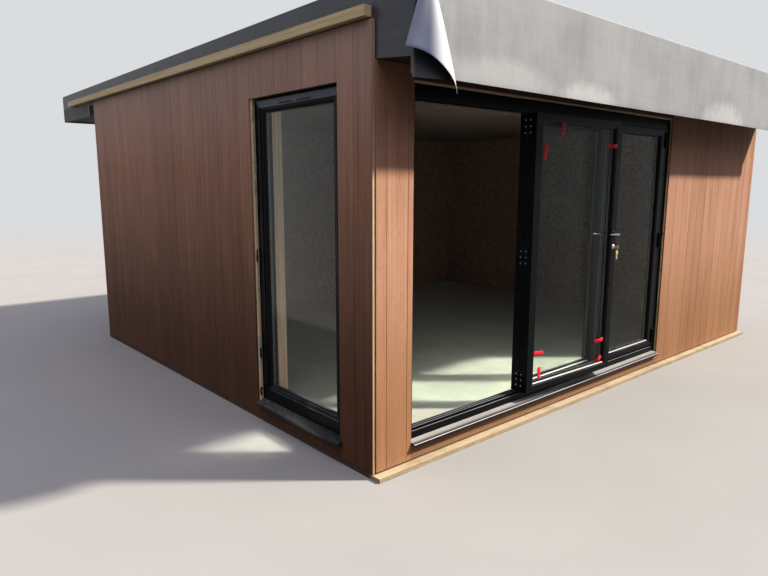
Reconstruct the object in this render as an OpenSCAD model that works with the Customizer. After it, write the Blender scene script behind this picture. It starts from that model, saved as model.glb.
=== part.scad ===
// Garden office pod: timber cabin with composite cladding, a three-leaf folding door,
// a tall side window and a flat roof under a loose rubber membrane.
// Millimetres. The front faces -Y, the origin is the middle of the footprint on the ground.

/* [Overall] */
// Width over the side cladding
body_w = 5004; // [4400:1:6000]
// Depth over the front and back cladding
body_d = 4155; // [3200:1:5200]
// Clear height of the room from floor to ceiling
room_h = 2025; // [2010:1:2200]

/* [Base and floor] */
// Height of the concrete base that shows above the ground
slab_h = 25; // [15:1:60]
// How far the base shows in front of the cladding
slab_front = 50; // [20:1:90]
// Gap between the base and the bottom edge of the cladding
cladding_lift = 5; // [2:1:12]
// Thickness of the insulated floor panel
floor_t = 80; // [60:1:90]

/* [Walls] */
// Thickness of the insulated wall panels
wall_t = 140; // [110:1:180]
// Thickness of the composite cladding
cladding_t = 16; // [12:1:22]
// Dark gap between the two claddings at each corner
corner_gap = 3; // [1:1:6]
// How far the side cladding stops short of the front face
corner_step = 6; // [2:1:12]
// Hairline between pieces that butt in one wall or frame
hairline = 0.3; // [0.2:0.1:0.5]
// Gap left where one piece is cut round another
cut_gap = 2; // [1:0.5:4]

/* [Roof] */
// Thickness of the ceiling and soffit boards
lining_t = 12; // [9:1:18]
// Height of the side cladding above the ceiling line
eaves_cover = 180; // [150:1:220]
// Roof surface above the top of the side cladding, at the front
roof_rise = 182; // [150:1:220]
// Fall of the roof surface from front to back
roof_fall = 32; // [10:1:60]
// Overhang in front of the cladding
front_overhang = 260; // [180:1:400]
// Overhang behind the back cladding
rear_overhang = 1065; // [900:1:1300]
// Step up from the roof panel to the underside of the rear overhang
canopy_step = 60; // [40:1:90]
// Thickness of the fascia boards
fascia_t = 20; // [15:1:30]
// Height of the front fascia and its membrane
fascia_h = 492; // [450:1:520]
// How far the front fascia board stops above the membrane's edge
fascia_lift = 4; // [2:1:10]
// Rise of the kerb at the front edge of the roof
kerb_rise = 30; // [15:1:45]
// Width of the flat top of the kerb behind the fascia
kerb_top_w = 30; // [20:1:50]
// Width of the sloped back of the kerb
kerb_slope_w = 30; // [15:1:50]

/* [Membrane] */
// Thickness allowed for the rubber membrane
membrane_t = 4; // [2:1:6]
// How far the side membrane droops at the front overhang
hem_droop = 24; // [0:1:40]
// Length of the notch in the side membrane behind the back wall
hem_notch = 165; // [100:1:260]
// Height of the side cladding that the membrane laps behind the back wall
hem_lap = 20; // [10:1:40]
// Right reach of the loose corner flap along the front
flap_right = 277; // [200:1:340]
// Left reach of the loose corner flap past the side of the roof
flap_left = 91; // [50:1:120]
// How far the flap bulges in front of the roof edge
flap_bulge = 80; // [50:1:110]
// Drop of the flap's right tip below the top of the fascia
flap_drop_right = 552; // [450:1:600]
// Drop of the flap's left tip below the top of the fascia
flap_drop_left = 395; // [300:1:440]
// Distance of the flap's apex from the side of the roof
flap_apex_in = 54; // [30:1:80]
// Drop of the flap's root at the roof edge below its left tip
flap_root_drop = 15; // [5:1:40]

/* [Roof battens] */
// Thickness of the pine battens that hold the membrane
batten_w = 47; // [38:1:60]
// Height of the battens
batten_h = 50; // [38:1:75]
// Gap between the side cladding and the batten above it
batten_gap = 12; // [4:1:20]
// Distance of the battens from the front face
batten_front = 30; // [10:1:80]
// How far the battens run past the back wall
batten_past = 725; // [400:1:850]

/* [Door opening] */
// Left edge of the opening in the cladding, from the left corner
door_x = 274; // [240:1:600]
// Width of the opening in the cladding
door_w = 2887; // [2600:1:3100]
// Height of the ceiling above the opening's top edge
door_head_drop = 70; // [45:1:130]
// Timber packer above the door frame
head_pack = 14; // [6:1:20]
// Timber stud between the door frame and the right cladding
stud_w = 21; // [12:1:35]
// Lap of the left cladding over the door frame
frame_lap = 12; // [6:1:20]
// Set-back of the door frame from the cladding's face
frame_setback = 24; // [18:1:40]
// Depth of the door and window frames
frame_d = 70; // [60:1:80]
// Width of the door frame's jambs
jamb_w = 38; // [30:1:60]
// Height of the door frame's head
head_h = 71; // [55:1:90]

/* [Door sill] */
// Height of the sill's back edge above the ground
sill_z = 143; // [130:1:160]
// Thickness of the sill under the frame
sill_t = 25; // [18:1:30]
// Projection of the sill in front of the cladding
sill_out = 28; // [20:1:60]
// Fall of the sill from the frame to its nose
sill_fall = 17; // [10:1:30]
// Thickness of the sill's sheet metal at the nose
sill_sheet = 4; // [3:1:8]
// Height of the drip edge below the sill's sheet
sill_drip = 4; // [2:1:20]
// Distance of the sill's right end from the right edge of the opening
sill_short_right = 12; // [2:1:30]
// Gap between the sill and the cladding board below it
skirt_gap = 4; // [2:1:30]
// Height of the threshold above the sill
threshold_h = 52; // [40:1:60]
// Width of each rib of the threshold
rib_w = 9; // [6:1:12]
// Depth of the grooves between the ribs
groove_d = 22; // [12:1:30]

/* [Door leaves] */
// Width of the lead leaf, folded back in front of the middle leaf
lead_w = 965; // [850:1:1000]
// Thickness of the leaves
leaf_t = 60; // [52:1:66]
// Width of the leaves' stiles
stile_w = 60; // [45:1:80]
// Height of the leaves' rails
rail_h = 38; // [30:1:80]
// Thickness of the double glazing
glass_t = 24; // [16:1:28]
// Gap between the leaves and the frame's head
leaf_gap_top = 3; // [2:1:8]
// Gap between the leaves and the threshold
leaf_gap_low = 8; // [4:1:14]
// Gap between the folded leaves at the hinges
hinge_gap = 5; // [3:1:10]
// Angle that the lead leaf stops short of lying flat
lead_lean = 2; // [1:1:6]

/* [Hinges and handle] */
// Height of each hinge
hinge_h = 120; // [90:1:150]
// Width of each hinge plate
hinge_w = 32; // [22:1:40]
// Thickness of the hinge plates
hinge_t = 4; // [3:1:6]
// Radius of the hinge barrels
hinge_r = 7; // [5:1:9]
// Thickness of the web between a hinge plate and its barrel
hinge_web_t = 1; // [0.8:0.1:2]
// Distance of the outer hinges' middles from the leaf's ends
hinge_end = 80; // [70:1:160]
// Height of the lever above the bottom of the leaf
lever_z = 987; // [850:1:1100]
// Length of the lever
lever_l = 125; // [90:1:150]
// Radius of the lever and its neck
lever_r = 9; // [6:1:11]
// Stand-off of the lever from the leaf
lever_out = 48; // [35:1:60]
// Radius of the rose
rose_r = 25; // [18:1:28]
// Thickness of the rose
rose_t = 8; // [5:1:12]
// Distance from the lever down to the lock
lock_drop = 88; // [70:1:120]
// Distance of the spindle from the stile's middle, towards the glass
spindle_in = 6; // [0:1:10]
// Radius of the lock's escutcheon
lock_r = 17; // [12:1:20]
// Radius of the key's bow
key_r = 13; // [10:1:16]

/* [Window] */
// Front edge of the window opening, from the front corner
window_y = 285; // [240:1:900]
// Width of the window opening
window_w = 900; // [700:1:1200]
// Height of the opening's bottom edge above the ground
window_low_z = 100; // [90:1:400]
// Height of the ceiling above the opening's top edge
window_head_drop = 75; // [45:1:230]
// Set-back of the window frame from the cladding's face
window_setback = 30; // [20:1:45]
// Timber stud between the frame and the rear edge of the opening
window_stud_w = 28; // [15:1:40]
// Height of the foam strip above the window frame
foam_h = 9; // [5:1:20]
// Set-back of the stud, the packers and the foam from the cladding's face
packer_setback = 10; // [4:1:16]
// Width of the window frame's jambs
window_jamb_w = 72; // [50:1:90]
// Height of the window frame's head
window_head_h = 67; // [50:1:90]
// Height of the window frame's bottom rail
window_rail_h = 78; // [50:1:100]
// Length of each ventilation slot in the window's head
vent_slot_l = 138; // [100:1:150]
// Height of each ventilation slot
vent_slot_h = 6; // [4:1:10]
// Depth of each ventilation slot
vent_slot_d = 18; // [8:1:30]
// Gap between the two ventilation slots
vent_slot_gap = 50; // [20:1:80]
// Distance of the slots below the top of the frame
vent_slot_drop = 39; // [20:1:50]

/* [Window sill] */
// Height of the window sill under the frame
window_sill_t = 40; // [30:1:50]
// Projection of the window sill in front of the cladding
window_sill_out = 30; // [20:1:45]
// Fall of the window sill from the frame to its nose
window_sill_fall = 18; // [8:1:22]
// Height of the window sill's nose
window_nose_h = 18; // [12:1:20]
// Horn of the sill past the front edge of the opening
window_horn = 15; // [5:1:25]

/* [Hidden] */
$fn = 48;

// Heights, from the ground up
clad_z = slab_h + cladding_lift;
floor_z = slab_h + floor_t;
ceiling_z = floor_z + room_h;
roof_low_z = ceiling_z + lining_t;
side_top_z = ceiling_z + eaves_cover;
roof_z = side_top_z + roof_rise;
kerb_z = roof_z + kerb_rise;
apron_low_z = kerb_z - fascia_h;
canopy_low_z = roof_low_z + canopy_step;
hem_rear_low_z = canopy_low_z - lining_t;
front_clad_top_z = ceiling_z - cut_gap;
back_clad_top_z = canopy_low_z - cut_gap;
door_head_z = ceiling_z - door_head_drop;
window_head_z = ceiling_z - window_head_drop;

// Plan lines, from the front left corner of the cladding
wall_in = cladding_t + wall_t;
face_x = cladding_t + corner_gap;
hem_x = cladding_t;
roof_x = cladding_t + membrane_t;
front_y = -front_overhang;
rear_y = body_d + rear_overhang;
fascia_front_y = front_y + membrane_t;
fascia_back_y = fascia_front_y + fascia_t;
rear_fascia_front_y = rear_y - membrane_t - fascia_t;
canopy_y = body_d - cladding_t;
kerb_back_y = fascia_back_y + kerb_top_w;
kerb_toe_y = kerb_back_y + kerb_slope_w;

// Roof surface height at depth y, before the kerb is added
function roof_at(y) = roof_z - roof_fall * (y - front_y) / (rear_y - front_y);

// Door set
door_right = door_x + door_w;
frame_left = door_x - frame_lap;
frame_right = door_right - stud_w;
frame_top_z = door_head_z - head_pack;
frame_low_z = frame_top_z - head_h;
jamb_left = frame_left + jamb_w;
jamb_right = frame_right - jamb_w;
frame_y = frame_setback;
sill_plate_left = frame_left - cut_gap;
sill_bed_z = sill_z - sill_t;
sill_nose_z = sill_z - sill_fall;
sill_fold_z = sill_nose_z - 2 * sill_sheet;
skirt_top_z = min(sill_bed_z, sill_fold_z) - skirt_gap;
threshold_z = sill_z + threshold_h;
leaf_low_z = threshold_z + leaf_gap_low;
leaf_h = frame_low_z - leaf_gap_top - leaf_low_z;
hinge_x = jamb_left + lead_w;
slim_w = (jamb_right - hinge_x) / 2;
pivot_y = frame_y - hinge_gap / 2;
leaf_side_gap = 1.5;

// Depth by which two parts of one solid run into each other, or a cutter runs out of it
run_in = 1;

// Window set
window_back_y = window_y + window_w;
window_frame_front = window_y + cut_gap;
window_frame_back = window_back_y - window_stud_w;
window_frame_low_z = window_low_z + window_sill_t;
window_frame_top_z = window_head_z - foam_h;
window_frame_w = window_frame_back - window_frame_front;
window_frame_h = window_frame_top_z - window_frame_low_z;

// Colours
cladding_brown = [0.43, 0.31, 0.26];
pine = [0.80, 0.66, 0.44];
board_brown = [0.55, 0.42, 0.30];
frame_black = [0.09, 0.10, 0.11];
rubber_grey = [0.30, 0.31, 0.34];

// Placement helpers
module in_plan() {
    translate([-body_w / 2, -body_d / 2, 0])
        children();
}

module slab_at(x0, y0, z0, x1, y1, z1) {
    translate([x0, y0, z0])
        cube([x1 - x0, y1 - y0, z1 - z0]);
}

// A profile drawn in Y and Z, run along X
module along_x(x0, x1, profile) {
    translate([x0, 0, 0])
        rotate([90, 0, 90])
            linear_extrude(x1 - x0)
                polygon(profile);
}

// A profile drawn in X and Z, run along Y
module along_y(y0, y1, profile) {
    translate([0, y1, 0])
        rotate([90, 0, 0])
            linear_extrude(y1 - y0)
                polygon(profile);
}

// Base and floor
module base_slab() {
    color([0.80, 0.74, 0.62])
        in_plan()
            slab_at(0, -slab_front, 0, body_w, body_d, slab_h);
}

module floor_panel() {
    color([0.62, 0.66, 0.60])
        in_plan()
            slab_at(wall_in, wall_in, slab_h, body_w - wall_in, body_d - wall_in, floor_z);
}

module door_sill_plate() {
    color(pine)
        in_plan()
            slab_at(sill_plate_left, cladding_t, slab_h, door_right, wall_in, sill_bed_z);
}

// Wall panels
module front_wall_left() {
    color(board_brown)
        in_plan()
            slab_at(cladding_t, cladding_t, slab_h, sill_plate_left, wall_in, roof_low_z);
}

module front_wall_right() {
    color(board_brown)
        in_plan()
            slab_at(door_right, cladding_t, slab_h, body_w - cladding_t, wall_in, roof_low_z);
}

module front_wall_lintel() {
    color(board_brown)
        in_plan()
            slab_at(sill_plate_left, cladding_t, door_head_z, door_right, wall_in, roof_low_z);
}

// A side wall or its cladding, split round the window opening
module round_window(x0, x1, y0, y1, z0, z1) {
    slab_at(x0, y0, z0, x1, window_y, z1);
    slab_at(x0, window_back_y, z0, x1, y1, z1);
    slab_at(x0, window_y + hairline, z0, x1, window_back_y - hairline, window_low_z);
    slab_at(x0, window_y + hairline, window_head_z, x1, window_back_y - hairline, z1);
}

module left_wall() {
    color(board_brown)
        in_plan()
            round_window(cladding_t, wall_in, wall_in, body_d - wall_in, slab_h, roof_low_z);
}

module right_wall() {
    color(board_brown)
        in_plan()
            slab_at(body_w - wall_in, wall_in, slab_h, body_w - cladding_t, body_d - wall_in, roof_low_z);
}

module back_wall() {
    color(board_brown)
        in_plan()
            slab_at(cladding_t, body_d - wall_in, slab_h, body_w - cladding_t, canopy_y, roof_low_z);
}

// Cladding
module front_cladding_left() {
    color(cladding_brown)
        in_plan()
            slab_at(face_x, 0, clad_z, door_x, cladding_t, front_clad_top_z);
}

module front_cladding_right() {
    color(cladding_brown)
        in_plan()
            slab_at(door_right, 0, clad_z, body_w - face_x, cladding_t, front_clad_top_z);
}

module front_cladding_header() {
    color(cladding_brown)
        in_plan()
            slab_at(door_x + hairline, 0, door_head_z, door_right - hairline, cladding_t, front_clad_top_z);
}

module front_cladding_skirt() {
    color(cladding_brown)
        in_plan()
            slab_at(door_x + hairline, 0, clad_z, door_right - hairline, cladding_t, skirt_top_z);
}

module left_cladding() {
    color(cladding_brown)
        in_plan()
            round_window(0, cladding_t, corner_step, body_d - corner_step, clad_z, side_top_z);
}

module right_cladding() {
    color(cladding_brown)
        in_plan()
            slab_at(body_w - cladding_t, corner_step, clad_z, body_w, body_d - corner_step, side_top_z);
}

module back_cladding() {
    color(cladding_brown)
        in_plan()
            slab_at(face_x, canopy_y, clad_z, body_w - face_x, body_d, back_clad_top_z);
}

// Timber round the door frame
module door_packers() {
    packer_back = frame_y + frame_d;
    color(pine)
        in_plan() {
            slab_at(door_x + hairline, packer_setback, frame_top_z, door_right, packer_back, door_head_z);
            slab_at(frame_right, packer_setback, sill_z, door_right, packer_back, frame_top_z - hairline);
        }
}

// Aluminium sill: a bed under the frame, and a sloped nose in front of it with a drip edge
module door_sill() {
    frame_back = frame_y + frame_d;
    nose_low_z = sill_fold_z - sill_drip;
    slope = sill_fall / (frame_y + sill_out);
    joint_z = sill_z - slope * (frame_y - cladding_t);
    color(frame_black)
        in_plan() {
            along_x(door_x + hairline, door_right - sill_short_right, [
                [cladding_t, sill_bed_z], [cladding_t + run_in, sill_bed_z], [cladding_t + run_in, joint_z],
                [cladding_t, joint_z], [-sill_out, sill_nose_z], [-sill_out, nose_low_z],
                [sill_sheet - sill_out, nose_low_z], [sill_sheet - sill_out, sill_fold_z]
            ]);
            along_x(frame_left, frame_right, [
                [cladding_t, sill_bed_z], [frame_back, sill_bed_z], [frame_back, sill_z],
                [frame_y, sill_z], [cladding_t, joint_z]
            ]);
        }
}

// Ribbed track that the leaves run in
module door_threshold() {
    ribs = 4;
    rib_pitch = (frame_d - rib_w) / (ribs - 1);
    color([0.16, 0.17, 0.18])
        in_plan() {
            slab_at(jamb_left, frame_y, sill_z, jamb_right, frame_y + frame_d, threshold_z - groove_d);
            for (i = [0 : ribs - 1])
                slab_at(jamb_left, frame_y + i * rib_pitch, sill_z,
                    jamb_right, frame_y + i * rib_pitch + rib_w, threshold_z - (i == 0 ? groove_d / 2 : 0));
        }
}

module door_frame() {
    color(frame_black)
        in_plan() {
            slab_at(frame_left, frame_y, frame_low_z, frame_right, frame_y + frame_d, frame_top_z);
            slab_at(frame_left, frame_y, sill_z, jamb_left, frame_y + frame_d, frame_low_z - hairline);
            slab_at(jamb_right, frame_y, sill_z, frame_right, frame_y + frame_d, frame_low_z - hairline);
        }
}

// Two stiles and two rails round a pane, drawn upright in X and Z from the origin
module ring_of_bars(w, h, side, low, high, depth) {
    cube([side, depth, h]);
    translate([w - side, 0, 0])
        cube([side, depth, h]);
    translate([side + hairline, 0, 0])
        cube([w - 2 * side - 2 * hairline, depth, low]);
    translate([side + hairline, 0, h - high])
        cube([w - 2 * side - 2 * hairline, depth, high]);
}

module pane(w, h, side, low, high, depth) {
    translate([side + hairline, (depth - glass_t) / 2, low + hairline])
        cube([w - 2 * side - 2 * hairline, glass_t, h - low - high - 2 * hairline]);
}

module leaf_bars(w) {
    ring_of_bars(w, leaf_h, stile_w, rail_h, rail_h, leaf_t);
}

module leaf_pane(w) {
    pane(w, leaf_h, stile_w, rail_h, rail_h, leaf_t);
}

// The lead leaf turns about the hinge line, and stands almost flat on the middle leaf
module at_pivot() {
    translate([hinge_x, pivot_y, leaf_low_z])
        rotate([0, 0, -lead_lean])
            children();
}

module on_lead_leaf() {
    at_pivot()
        translate([0, -hinge_gap / 2 - leaf_t, 0])
            children();
}

module lead_leaf_frame() {
    color(frame_black)
        in_plan()
            on_lead_leaf()
                leaf_bars(lead_w);
}

module lead_leaf_glass() {
    color([0.72, 0.80, 0.80, 0.35])
        in_plan()
            on_lead_leaf()
                leaf_pane(lead_w);
}

module at_slim_leaf(i) {
    translate([hinge_x + i * slim_w + leaf_side_gap, frame_y, leaf_low_z])
        children();
}

module middle_leaf_frame() {
    color(frame_black)
        in_plan()
            at_slim_leaf(0)
                leaf_bars(slim_w - 2 * leaf_side_gap);
}

module middle_leaf_glass() {
    color([0.72, 0.80, 0.80, 0.35])
        in_plan()
            at_slim_leaf(0)
                leaf_pane(slim_w - 2 * leaf_side_gap);
}

module right_leaf_frame() {
    color(frame_black)
        in_plan()
            at_slim_leaf(1)
                leaf_bars(slim_w - 2 * leaf_side_gap);
}

module right_leaf_glass() {
    color([0.72, 0.80, 0.80, 0.35])
        in_plan()
            at_slim_leaf(1)
                leaf_pane(slim_w - 2 * leaf_side_gap);
}

// Three hinges, each with a plate on either leaf's edge and a barrel between them
module door_hinge() {
    translate([leaf_side_gap - hairline - hinge_t, 0, 0])
        cube([hinge_t, hinge_gap / 2 + hinge_w, hinge_h]);
    translate([-hinge_r, 0, 0])
        cylinder(r = hinge_r, h = hinge_h);
    translate([-hinge_r, -hinge_web_t / 2, 0])
        cube([hinge_r - hairline, hinge_web_t, hinge_h]);
    rotate([0, 0, -lead_lean])
        translate([-hairline - hinge_t, -hinge_gap / 2 - hinge_w, 0])
            cube([hinge_t, hinge_gap / 2 + hinge_w, hinge_h]);
}

// Hinge plate that fills the gap between two upright edges, with its barrel on one face of the leaf
module edge_hinge(x0, x1, barrel_y) {
    x = (x0 + x1) / 2;
    plate_y = frame_y + leaf_t / 2;
    half = hinge_web_t / 2;
    slab_at(x0, plate_y - hinge_w / 2, 0, x1, plate_y + hinge_w / 2, hinge_h);
    slab_at(x - half, min(barrel_y, plate_y), 0, x + half, max(barrel_y, plate_y), hinge_h);
    translate([x, barrel_y, 0])
        cylinder(r = hinge_r, h = hinge_h);
}

module door_hinges() {
    fold_x = hinge_x + slim_w;
    barrel_out = hinge_r + cut_gap / 2;
    color([0.12, 0.13, 0.14])
        in_plan()
            for (z = [hinge_end, leaf_h / 2, leaf_h - hinge_end]) {
                translate([hinge_x, pivot_y, leaf_low_z + z - hinge_h / 2])
                    door_hinge();
                translate([0, 0, leaf_low_z + z - hinge_h / 2]) {
                    edge_hinge(fold_x - leaf_side_gap, fold_x + leaf_side_gap, frame_y + leaf_t + barrel_out);
                    edge_hinge(jamb_right - leaf_side_gap, jamb_right, frame_y - barrel_out);
                }
            }
}

// Roller under the frame's head and guide on the threshold that carry the folding leaves
module door_rollers() {
    roller_l = 50;
    roller_d = 26;
    roller_y = frame_y + leaf_t / 2 - roller_d / 2;
    roller_x = hinge_x + leaf_side_gap - roller_l / 2;
    color([0.12, 0.13, 0.14])
        in_plan() {
            slab_at(roller_x, roller_y, frame_low_z - leaf_gap_top,
                roller_x + roller_l, roller_y + roller_d, frame_low_z);
            slab_at(roller_x, roller_y, threshold_z, roller_x + roller_l, roller_y + roller_d, leaf_low_z);
        }
}

module door_handle() {
    color([0.75, 0.76, 0.77])
        in_plan()
            on_lead_leaf()
                translate([lead_w - stile_w / 2 - spindle_in, -hairline, lever_z])
                    rotate([90, 0, 0]) {
                        cylinder(r = rose_r, h = rose_t);
                        cylinder(r = lever_r, h = lever_out);
                        translate([0, 0, lever_out - lever_r])
                            rotate([0, -90, 0])
                                cylinder(r = lever_r, h = lever_l);
                        translate([0, 0, lever_out - lever_r])
                            sphere(r = lever_r);
                    }
}

module door_lock() {
    barrel_l = 14;
    barrel_r = 8;
    key_t = 2.5;
    key_w = 6;
    color([0.80, 0.72, 0.50])
        in_plan()
            on_lead_leaf()
                translate([lead_w - stile_w / 2 - spindle_in, -hairline, lever_z - lock_drop])
                    rotate([90, 0, 0]) {
                        cylinder(r = lock_r, h = barrel_l / 2);
                        cylinder(r = barrel_r, h = barrel_l);
                        translate([-key_t / 2, -key_w / 2, 0])
                            cube([key_t, key_w, barrel_l + key_r]);
                        translate([-key_t / 2, 0, barrel_l + key_r])
                            rotate([0, 90, 0])
                                cylinder(r = key_r, h = key_t);
                    }
}

// Stud and foam in the gaps round the window frame
module window_packers() {
    packer_back = window_setback + frame_d;
    color(pine)
        in_plan() {
            slab_at(packer_setback, window_frame_back, window_low_z, packer_back, window_back_y, window_head_z);
            slab_at(packer_setback, window_frame_front, window_frame_top_z,
                packer_back, window_frame_back - hairline, window_head_z);
        }
}

// Aluminium window sill: a bed under the frame, and a longer nose in front of the cladding
module window_sill() {
    nose_z = window_frame_low_z - window_sill_fall;
    nose_low_z = nose_z - window_nose_h;
    fold_z = nose_z - 2 * sill_sheet;
    slope = window_sill_fall / (window_setback + window_sill_out);
    joint_z = window_frame_low_z - slope * window_setback;
    color(frame_black)
        in_plan() {
            along_y(window_frame_front, window_frame_back - hairline, [
                [-run_in, window_low_z], [window_setback + frame_d, window_low_z],
                [window_setback + frame_d, window_frame_low_z], [window_setback, window_frame_low_z],
                [-run_in, joint_z]
            ]);
            along_y(window_y - window_horn, window_back_y - window_horn, [
                [-hairline, fold_z], [-hairline, joint_z], [-window_sill_out, nose_z],
                [-window_sill_out, nose_low_z], [sill_sheet - window_sill_out, nose_low_z],
                [sill_sheet - window_sill_out, fold_z]
            ]);
        }
}

module at_window_frame() {
    translate([window_setback, window_frame_back, window_frame_low_z])
        rotate([0, 0, -90])
            children();
}

// Frame round the fixed pane, with two ventilation slots in its head
module window_frame() {
    slot_run = 2 * vent_slot_l + vent_slot_gap;
    slot_x = (window_frame_w - slot_run) / 2;
    color(frame_black)
        in_plan()
            at_window_frame()
                difference() {
                    ring_of_bars(window_frame_w, window_frame_h, window_jamb_w, window_rail_h,
                        window_head_h, frame_d);
                    for (x = [slot_x, slot_x + vent_slot_l + vent_slot_gap])
                        translate([x, -run_in, window_frame_h - vent_slot_drop - vent_slot_h / 2])
                            cube([vent_slot_l, vent_slot_d + run_in, vent_slot_h]);
                }
}

module window_glass() {
    color([0.72, 0.80, 0.80, 0.35])
        in_plan()
            at_window_frame()
                pane(window_frame_w, window_frame_h, window_jamb_w, window_rail_h, window_head_h, frame_d);
}

// Roof
module ceiling_lining() {
    color([0.66, 0.55, 0.42])
        in_plan()
            slab_at(wall_in, wall_in, ceiling_z, body_w - wall_in, body_d - wall_in, roof_low_z);
}

module roof_panel() {
    color([0.70, 0.60, 0.45])
        in_plan()
            along_x(roof_x, body_w - roof_x, [
                [fascia_back_y, roof_low_z], [canopy_y, roof_low_z],
                [canopy_y, roof_at(canopy_y) - membrane_t], [fascia_back_y, roof_at(fascia_back_y) - membrane_t]
            ]);
}

module rear_canopy() {
    color([0.60, 0.50, 0.38])
        in_plan()
            along_x(roof_x, body_w - roof_x, [
                [canopy_y, canopy_low_z], [rear_fascia_front_y, canopy_low_z],
                [rear_fascia_front_y, roof_at(rear_fascia_front_y) - membrane_t],
                [canopy_y, roof_at(canopy_y) - membrane_t]
            ]);
}

module front_fascia() {
    color(pine)
        in_plan() {
            slab_at(roof_x, fascia_front_y, apron_low_z + fascia_lift,
                body_w - roof_x, fascia_back_y, kerb_z - membrane_t);
            along_x(roof_x, body_w - roof_x, [
                [fascia_back_y + hairline, roof_at(fascia_back_y + hairline) - membrane_t],
                [kerb_toe_y, roof_at(kerb_toe_y) - membrane_t],
                [kerb_back_y, kerb_z - membrane_t], [fascia_back_y + hairline, kerb_z - membrane_t]
            ]);
        }
}

module rear_fascia() {
    color(pine)
        in_plan()
            along_x(roof_x, body_w - roof_x, [
                [rear_fascia_front_y, hem_rear_low_z], [rear_y - membrane_t, hem_rear_low_z],
                [rear_y - membrane_t, roof_at(rear_y) - membrane_t],
                [rear_fascia_front_y, roof_at(rear_fascia_front_y) - membrane_t]
            ]);
}

module front_soffit() {
    color([0.45, 0.36, 0.28])
        in_plan()
            slab_at(roof_x, fascia_back_y, ceiling_z, body_w - roof_x, cladding_t, roof_low_z);
}

// Membrane over the roof, turned over the kerb
module roof_membrane() {
    color(rubber_grey)
        in_plan()
            along_x(hem_x, body_w - hem_x, [
                [front_y, kerb_z - membrane_t], [kerb_back_y, kerb_z - membrane_t],
                [kerb_toe_y, roof_at(kerb_toe_y) - membrane_t], [rear_y, roof_at(rear_y) - membrane_t],
                [rear_y, roof_at(rear_y)], [kerb_toe_y, roof_at(kerb_toe_y)],
                [kerb_back_y, kerb_z], [front_y, kerb_z]
            ]);
}

// Side of the membrane, hanging down each end of the roof
module side_hem(x0) {
    rear_low_z = side_top_z - hem_lap;
    along_x(x0, x0 + membrane_t, [
        [fascia_front_y + hairline, ceiling_z - hem_droop], [0, ceiling_z], [0, roof_low_z],
        [body_d, roof_low_z], [body_d, rear_low_z], [body_d + hem_notch, rear_low_z],
        [body_d + hem_notch, hem_rear_low_z], [rear_y - membrane_t - hairline, hem_rear_low_z],
        [rear_y - membrane_t - hairline, roof_at(rear_y - membrane_t) - membrane_t - hairline],
        [kerb_toe_y, roof_at(kerb_toe_y) - membrane_t - hairline],
        [kerb_back_y, kerb_z - membrane_t - hairline],
        [fascia_front_y + hairline, kerb_z - membrane_t - hairline]
    ]);
}

module membrane_skirts() {
    color([0.62, 0.63, 0.65])
        in_plan() {
            slab_at(hem_x, front_y, apron_low_z, body_w - hem_x, fascia_front_y, kerb_z - membrane_t);
            slab_at(hem_x, rear_y - membrane_t, hem_rear_low_z,
                body_w - hem_x, rear_y, roof_at(rear_y) - membrane_t - hairline);
            side_hem(hem_x);
            side_hem(body_w - hem_x - membrane_t);
        }
}

// Loose corner of the membrane: a cone from its apex to a curved lower edge
flap_steps = 10;
flap_sweep = 150;
flap_lift = 0.7;
flap_y0 = front_y - hairline;
flap_apex = [hem_x + flap_apex_in, flap_y0, kerb_z - cut_gap];
function flap_share(u) = (1 - cos(180 * u)) / 2;
function flap_x(u) = hem_x + flap_right - (flap_right + flap_left) * flap_share(u);
function flap_y(u) = flap_y0 - flap_bulge * sin(flap_sweep * u);
function flap_z(u) = kerb_z - flap_drop_right
    + (flap_drop_right - flap_drop_left) * pow(flap_share(u), flap_lift);

module membrane_corner_flap() {
    root = [hem_x, flap_y0, kerb_z - flap_drop_left - flap_root_drop];
    rim = [for (i = [0 : flap_steps]) [flap_x(i / flap_steps), flap_y(i / flap_steps), flap_z(i / flap_steps)]];
    color([0.55, 0.56, 0.58])
        in_plan()
            polyhedron(
                points = concat([flap_apex, root], rim),
                faces = concat(
                    [for (i = [0 : flap_steps - 1]) [0, i + 3, i + 2]],
                    [for (i = [0 : flap_steps - 1]) [1, i + 2, i + 3]],
                    [[0, 2, 1], [0, 1, flap_steps + 2]]
                )
            );
}

// Pine battens that hold the side membrane
module roof_batten(x0) {
    low_z = side_top_z + batten_gap;
    slab_at(x0, batten_front, low_z, x0 + batten_w, body_d + batten_past, low_z + batten_h);
}

module left_roof_batten() {
    color(pine)
        in_plan()
            roof_batten(cladding_t - batten_w);
}

module right_roof_batten() {
    color(pine)
        in_plan()
            roof_batten(body_w - cladding_t);
}

base_slab();
floor_panel();
door_sill_plate();
front_wall_left();
front_wall_right();
front_wall_lintel();
left_wall();
right_wall();
back_wall();
front_cladding_left();
front_cladding_right();
front_cladding_header();
front_cladding_skirt();
left_cladding();
right_cladding();
back_cladding();
door_packers();
door_sill();
door_threshold();
door_frame();
lead_leaf_frame();
lead_leaf_glass();
middle_leaf_frame();
middle_leaf_glass();
right_leaf_frame();
right_leaf_glass();
door_hinges();
door_rollers();
door_handle();
door_lock();
window_packers();
window_sill();
window_frame();
window_glass();
ceiling_lining();
roof_panel();
rear_canopy();
front_fascia();
rear_fascia();
front_soffit();
roof_membrane();
membrane_skirts();
membrane_corner_flap();
left_roof_batten();
right_roof_batten();
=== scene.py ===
import logging
import math
import random
from dataclasses import dataclass
from enum import Enum
from typing import Callable, Sequence

import bmesh
import bpy
from mathutils import Matrix, Vector, noise


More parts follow.
